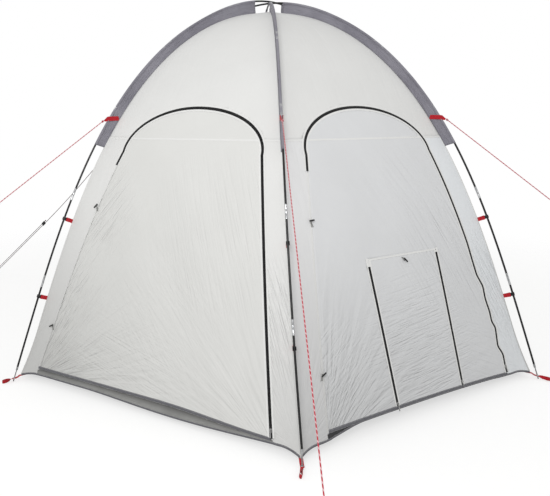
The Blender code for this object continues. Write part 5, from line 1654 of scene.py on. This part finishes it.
def seam_bands():
    """Felled seam between roof and walls, carried on across both doors."""
    half = float(half_width(SEAM_ARC)) - 0.001
    for panel, name in enumerate(PANEL_NAMES):
        spans = [(-half, half)]
        if panel in DOORS:
            spans = [(-half, hinge_side(panel, SEAM_HEIGHT, ZIP_GAP) - 0.001),
                     (zip_side(panel, SEAM_HEIGHT, ZIP_GAP) + 0.001, half)]
        parts = [seam_strip("seam", panel, np.linspace(u0, u1, max(int((u1 - u0) / 0.02), 3)))
                 for u0, u1 in spans]
        stay(joined(name + "_roof_seam", [strip for strip, _ in parts]), "canopy_cloth")
        stay(stitches(name + "_roof_seam_stitches", [line for _, lines in parts for line in lines]))
    for panel, name in DOORS.items():
        u = np.linspace(hinge_side(panel, SEAM_HEIGHT) + 0.011, zip_side(panel, SEAM_HEIGHT) - 0.011, 50)
        strip, lines = seam_strip(name + "_seam", panel, u)
        hang_door(strip, panel)
        hang_door(stitches(name + "_seam_stitches", lines), panel)


def ridge_seams():
    """Folded seam down each ridge below its sleeve, where two walls meet."""
    arcs = np.linspace(float(arc_at(HEM_HEIGHT - CORNER_DROP)) + 0.012, SEAM_ARC - 0.007, 90)
    half, reach = half_width(arcs), 0.007
    for corner, name in enumerate(CORNER_NAMES):
        low, high = ([panel_surface((corner - 1) % 6, half - reach, arcs, lift),
                      ridge_line(corner, arcs, lift), panel_surface(corner, -half + reach, arcs, lift)]
                     for lift in (0.0004, CLOTH + 0.0009))
        rings = np.stack([low[0], high[0], high[1], high[2], low[2], low[1]], 1)
        across = np.array([0, 0.002, 0.009, 0.016, 0.018, 0.025])
        # Coordinates from the wall's left edge, so the painted shade near its foot carries on over the seam.
        uvs = np.stack(np.broadcast_arrays(across[None, :] - half[:, None], arcs[:, None]), -1)
        stay(closed_loft(name + "_ridge_seam", rings, CANVAS, uvs), "canopy_cloth")


def ridge_line(corner, arcs, lift):
    """Line along a ridge, moved outwards."""
    points = panel_surface(corner % 6, -half_width(arcs), arcs, 0.0)
    outs = np.array([np.array(ridge_point(corner, arc, 1.0)) - np.array(ridge_point(corner, arc))
                     for arc in arcs])
    return points + outs * lift * 1.15


def foot_webbing(corner):
    """Red webbing from the canopy's corner over the pole's tip to a peg loop, with a steel eyelet."""
    name = CORNER_NAMES[corner] + "_foot_webbing"
    low = HEM_HEIGHT - CORNER_DROP
    corner_radius = float(np.interp(low, RIDGE_HEIGHTS, RIDGE_RADII))
    corner_radius += CORNER_FLARE * (1 - low / FLARE_HEIGHT) ** 2
    tip = FOOT_RADIUS - EYELET_HEIGHT * tan(FOOT_LEAN)
    top = low - FIT - 0.001
    shift = Vector((float(sway(corner, 0.0)), 0.0, 0.0))

    # Radius, height, half the loop's opening, turn of the strap in degrees, and share of the bend.
    bend = -0.014 if corner == 0 else 0.0
    line = [(corner_radius - 0.030, top, 0, 0, 0), (corner_radius - 0.010, top, 0, 0, 0),
            (corner_radius + 0.006, top - 0.0006, 0, 0, 0), (tip - 0.020, EYELET_HEIGHT + 0.003, 0, 0, 0),
            (tip - EYELET_RADIUS, EYELET_HEIGHT, 0, 0, 0), (tip, EYELET_HEIGHT - 0.0006, 0, 0, 0),
            (tip + EYELET_RADIUS, EYELET_HEIGHT - 0.001, 0, 6, 0), (tip + 0.022, 0.0165, 0.0012, 38, 0.3),
            (tip + 0.036, 0.0150, 0.0034, 72, 0.6), (tip + 0.050, 0.0135, 0.0062, 80, 0.9),
            (tip + 0.063, 0.0125, 0.0052, 80, 1.0), (tip + TAIL_LENGTH, 0.0120, 0.0, 80, 1.0),
            (tip + 0.063, 0.0125, -0.0052, 80, 1.0), (tip + 0.050, 0.0135, -0.0062, 80, 0.9),
            (tip + 0.036, 0.0150, -0.0034, 72, 0.6), (tip + 0.026, 0.0158, -0.0018, 50, 0.4)]
    route = smooth_route([np.array((*place[:4], bend * place[4]), float) for place in line], 3)
    radial, across = (np.array(polar(corner * STEP + turn, 1.0, 0.0)) for turn in (0, pi / 2))
    upright, half = np.array(UP), WEBBING_WIDTH / 2
    rings, uvs, run = [], [], 0.0
    for i, (radius, height, opening, degrees, aside) in enumerate(route):
        turn = radians(degrees)
        wide = (across * cos(turn) + upright * sin(turn)) * half
        normal = upright * cos(turn) - across * sin(turn)
        step = route[min(i + 1, len(route) - 1)] - route[max(i - 1, 0)]
        way = np.array((step[0], step[1] * cos(turn) + step[2]))
        size = np.linalg.norm(way)
        out = (normal * way[0] - radial * way[1]) / size * 0.0008
        here = radial * radius + upright * height + np.array(shift) + across * aside + normal * opening
        run += 0.0 if i == 0 else size / 2
        rings.append([here - out - wide, here + out - wide, here + out + wide, here - out + wide])
        uvs.append([(v, run) for v in (0.0, 0.002, 0.022, 0.024)])
    stay(closed_loft(name + "_strap", rings, RED_WEBBING, uvs, sharp=50), "foot_webbing", name)
    axis = polar(corner * STEP, -sin(FOOT_LEAN), cos(FOOT_LEAN))
    centre = polar(corner * STEP, tip, EYELET_HEIGHT) + shift
    bore = TIP / 2 + FIT
    flange = [(0.0008, bore), (0.0022, bore + 0.0006), (0.0026, bore + 0.0020),
              (0.0020, EYELET_RADIUS - 0.0008), (0.0011, EYELET_RADIUS)]
    flange += [(-height, radius) for height, radius in reversed(flange)]
    side = axis.orthogonal().normalized()
    other = axis.cross(side)
    rings = [[tuple(centre + axis * h + (side * cos(t) + other * sin(t)) * r) for h, r in flange]
             for t in np.linspace(0, 2 * pi, 33)[:-1]]
    count = len(flange)
    faces = [(i * count + j, i * count + (j + 1) % count, (i + 1) % 32 * count + (j + 1) % count,
              (i + 1) % 32 * count + j) for i in range(32) for j in range(count)]
    stay(turn_out(skin(name + "_eyelet", rings, faces, STEEL)))


def clip(corner, level):
    """Black hook snapped on the pole, on a red strap sewn to the canopy's ridge."""
    name = CORNER_NAMES[corner] + "_clip_" + level
    arc = CLIP_ARCS[level]
    centre = pole_point(corner, arc)
    rod = (pole_point(corner, arc + 0.01) - pole_point(corner, arc - 0.01)).normalized()
    inward = (ridge_point(corner, arc) - centre)
    inward = (inward - rod * inward.dot(rod)).normalized()
    side = rod.cross(inward)
    bore = ROD / 2 + 0.0004
    outer = bore + 0.0034
    lug = 0.0225
    angles = [radians(d) for d in (318, 300, 280, 250, 215, 180, 145, 110, 80, 60, 42)]
    outer_ring = [(-outer * cos(t), outer * sin(t)) for t in angles if cos(t) > -0.55]
    lips = [[(-(outer + 0.0016) * cos(t), (outer + 0.0016) * sin(t))] for t in (radians(40), radians(320))]
    right, left = [p for p in outer_ring if p[1] > 0], [p for p in outer_ring if p[1] <= 0]
    block = [(0.0060, 0.0066), (0.0105, 0.0042), (lug, 0.0042), (lug + 0.0012, 0.0030)]
    block += [(x, -y) for x, y in reversed(block)]
    bore_ring = [(-bore * cos(t), bore * sin(t)) for t in angles]
    outline = bore_ring + lips[0] + right[::-1] + block + left[::-1] + lips[1]
    rings = [[centre + inward * x + side * y + rod * shift for x, y in outline]
             for shift in (-CLIP_WIDTH / 2, CLIP_WIDTH / 2)]
    stay(bevelled(closed_loft(name + "_hook", rings, ACETAL), 0.0006), "clip_plastic", name)
    reach = (ridge_point(corner, arc) - centre).dot(inward) - CLOTH - 0.0012
    line = [(lug - 0.010, 0.0045), (lug - 0.004, 0.0052), (lug, 0.0050), (lug + 0.004, 0.0032),
            (lug + 0.014, 0.0018), (reach - 0.006, 0.0014), (reach, 0.0014)]

    def put(x, y, dx, dy, way):
        return centre + inward * (x - dx) + side * (y - dy) + rod * (way * CLIP_STRAP / 2)

    stay(bent_strap(name + "_strap", line + [(x, -y) for x, y in reversed(line)], 0.0010, put,
                    (0.0, 0.001, 0.016, 0.017)))


def sill_strips():
    """Grey lip of ground cloth that shows between each door's edge and the hem; the right door's lip is
    painted dark for its shade.
    """
    shares = np.linspace(0, 1, 7)
    for panel, name in DOORS.items():
        left, right = DOOR_FEET[panel]
        u = np.linspace(left - 0.012, right + 0.018, 120)
        low = hem_arc(panel, u) + 0.0085
        high = np.maximum(arc_at(door_low(panel, u)) + 0.012, low + 0.002)

        def line(share, under):
            arc = low * (1 - share) + high * share
            belly = 0.0032 - 0.0085 * share + 0.004 * sin(pi * share)
            return panel_surface(panel, u, arc, belly - under + sill_set(panel, u, height_at(arc)))

        rings = np.stack([line(share, 0.0) for share in shares]
                         + [line(share, 0.0009) for share in shares[::-1]], 1)
        across = np.concatenate([np.linspace(0, 0.05, 7), np.linspace(0.051, 0.10, 7)])
        uvs = strip_uvs(across, np.concatenate([[0], np.cumsum(np.diff(u))]))
        stay(closed_loft(name + "_sill_lip", rings, SILL_CLOTHS[panel], uvs, sharp=50))


def flap_top():
    """Light felled seam over the flap's top, with a patch of doubled cloth over the head of each zip."""
    u = np.linspace(FLAP_LEFT - 0.006, FLAP_RIGHT + 0.006, 40)
    top = float(arc_at(FLAP_TOP))
    on_right_door(band("flap_top_seam", FLAP_PANEL, (u, u * 0 + top - 0.0025), (u, u * 0 + top + 0.0085),
                       CLOTH + 0.0001, CLOTH + 0.0012))
    on_right_door(stitches("flap_top_stitches",
                           [panel_line(FLAP_PANEL, u, u * 0 + top + 0.0045, CLOTH + 0.0014)]))
    for name, edge, way, drop in (("left", FLAP_LEFT, -1, 0.034), ("right", FLAP_RIGHT, 1, 0.014)):
        for part, near, far, high, place in (
                ("outer", OUTER_TAPE, ZIP_GAP + 0.008, 0.012, on_right_door),
                ("inner", -0.010, INNER_TAPE, -0.003, hang_flap)):
            run = np.linspace(top - drop, top + high, 8)
            sides = [(run * 0 + u, run) for u in sorted((edge + way * near, edge + way * far))]
            place(band("flap_" + name + "_patch_" + part, FLAP_PANEL, *sides, CLOTH + 0.0018, CLOTH + 0.0034))


def toggle_ties():
    """Elastic tapes that hold the toggles: sewn into the seam, their ends lying on the cloth."""
    run = np.linspace(0.12, 1.0, 7)
    lift = 0.0004 + 0.0016 * np.sin(pi * run)
    places = [(panel, hinge_side(panel, z, TOGGLE_INSET), z, side, drop, stay)
              for panel, z, side, drop in ((5, 1.050, 0.010, -0.030), (5, 0.345, 0.012, -0.026),
                                           (0, 1.050, 0.004, -0.034), (0, 0.345, -0.012, -0.030))]
    places.append((FLAP_PANEL, (FLAP_LEFT + FLAP_RIGHT) / 2, FLAP_TOP - 0.028, -0.010, 0.020, hang_flap))
    for count, (panel, u, z, side, drop, place) in enumerate(places):
        along = float(arc_at(z)) + drop * run
        tapes = []
        for spread in (-0.0045, 0.0045):
            across = u + (side + spread) * run
            tapes.append(band("tie", panel, (across - 0.0028, along), (across + 0.0028, along), CLOTH + lift,
                              CLOTH + lift + 0.0010, ELASTIC))
        place(joined("toggle_tie_%d" % count, tapes))


def puller_ends():
    """Black moulded end on each zip puller's tab."""
    for name in all_nodes("_puller"):
        points = np.array([vertex.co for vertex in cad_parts[name].data.vertices])
        foot = points[points[:, 2] < points[:, 2].min() + 0.002]
        low, high = foot.mean(0), points[points[:, 2] > points[:, 2].max() - 0.004].mean(0)
        way = (high - low) / np.linalg.norm(high - low)
        wide, _, thin = np.linalg.svd(foot - low)[2]
        rings = [[low + way * place + wide * cos(t) * half + thin * sin(t) * min(half, 0.0014)
                  for t in np.linspace(0, 2 * pi, 15)[:-1]]
                 for place, half in ((-0.0022, 0.0010), (-0.0018, 0.0024), (-0.0006, 0.0034),
                                     (0.0040, 0.0031), (0.0085, 0.0034), (0.0098, 0.0029),
                                     (0.0102, 0.0012))]
        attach(closed_loft(name + "_end", rings, ACETAL, smooth=True), name)


def hinge_seams():
    """Felled seam where each door is sewn to its wall."""
    for panel, name in DOORS.items():
        z = np.linspace(float(door_low(panel, -1.0)) + 0.004, ZIP_END - 0.006, 100)
        a = arc_at(z)
        near, far = hinge_side(panel, z, 0.001), hinge_side(panel, z, 0.013)
        # Panel coordinates, so the canvas's painted shade runs on over the seam.
        stay(band(name + "_hinge_seam", panel, (far, a), (near, a), CLOTH * 0.5, CLOTH + 0.0009, CANVAS,
                  cut=True))
        stay(stitches(name + "_hinge_stitches",
                      [panel_line(panel, u, a, CLOTH + 0.0011) for u in (near - 0.0025, far + 0.0025)]))


for corner_number in range(6):
    for level_name in CLIP_ARCS:
        clip(corner_number, level_name)
sill_strips()
flap_top()
toggle_ties()
puller_ends()
hinge_seams()
hems()
door_bindings()
seam_bands()
ridge_seams()
for corner_number in range(6):
    foot_webbing(corner_number)
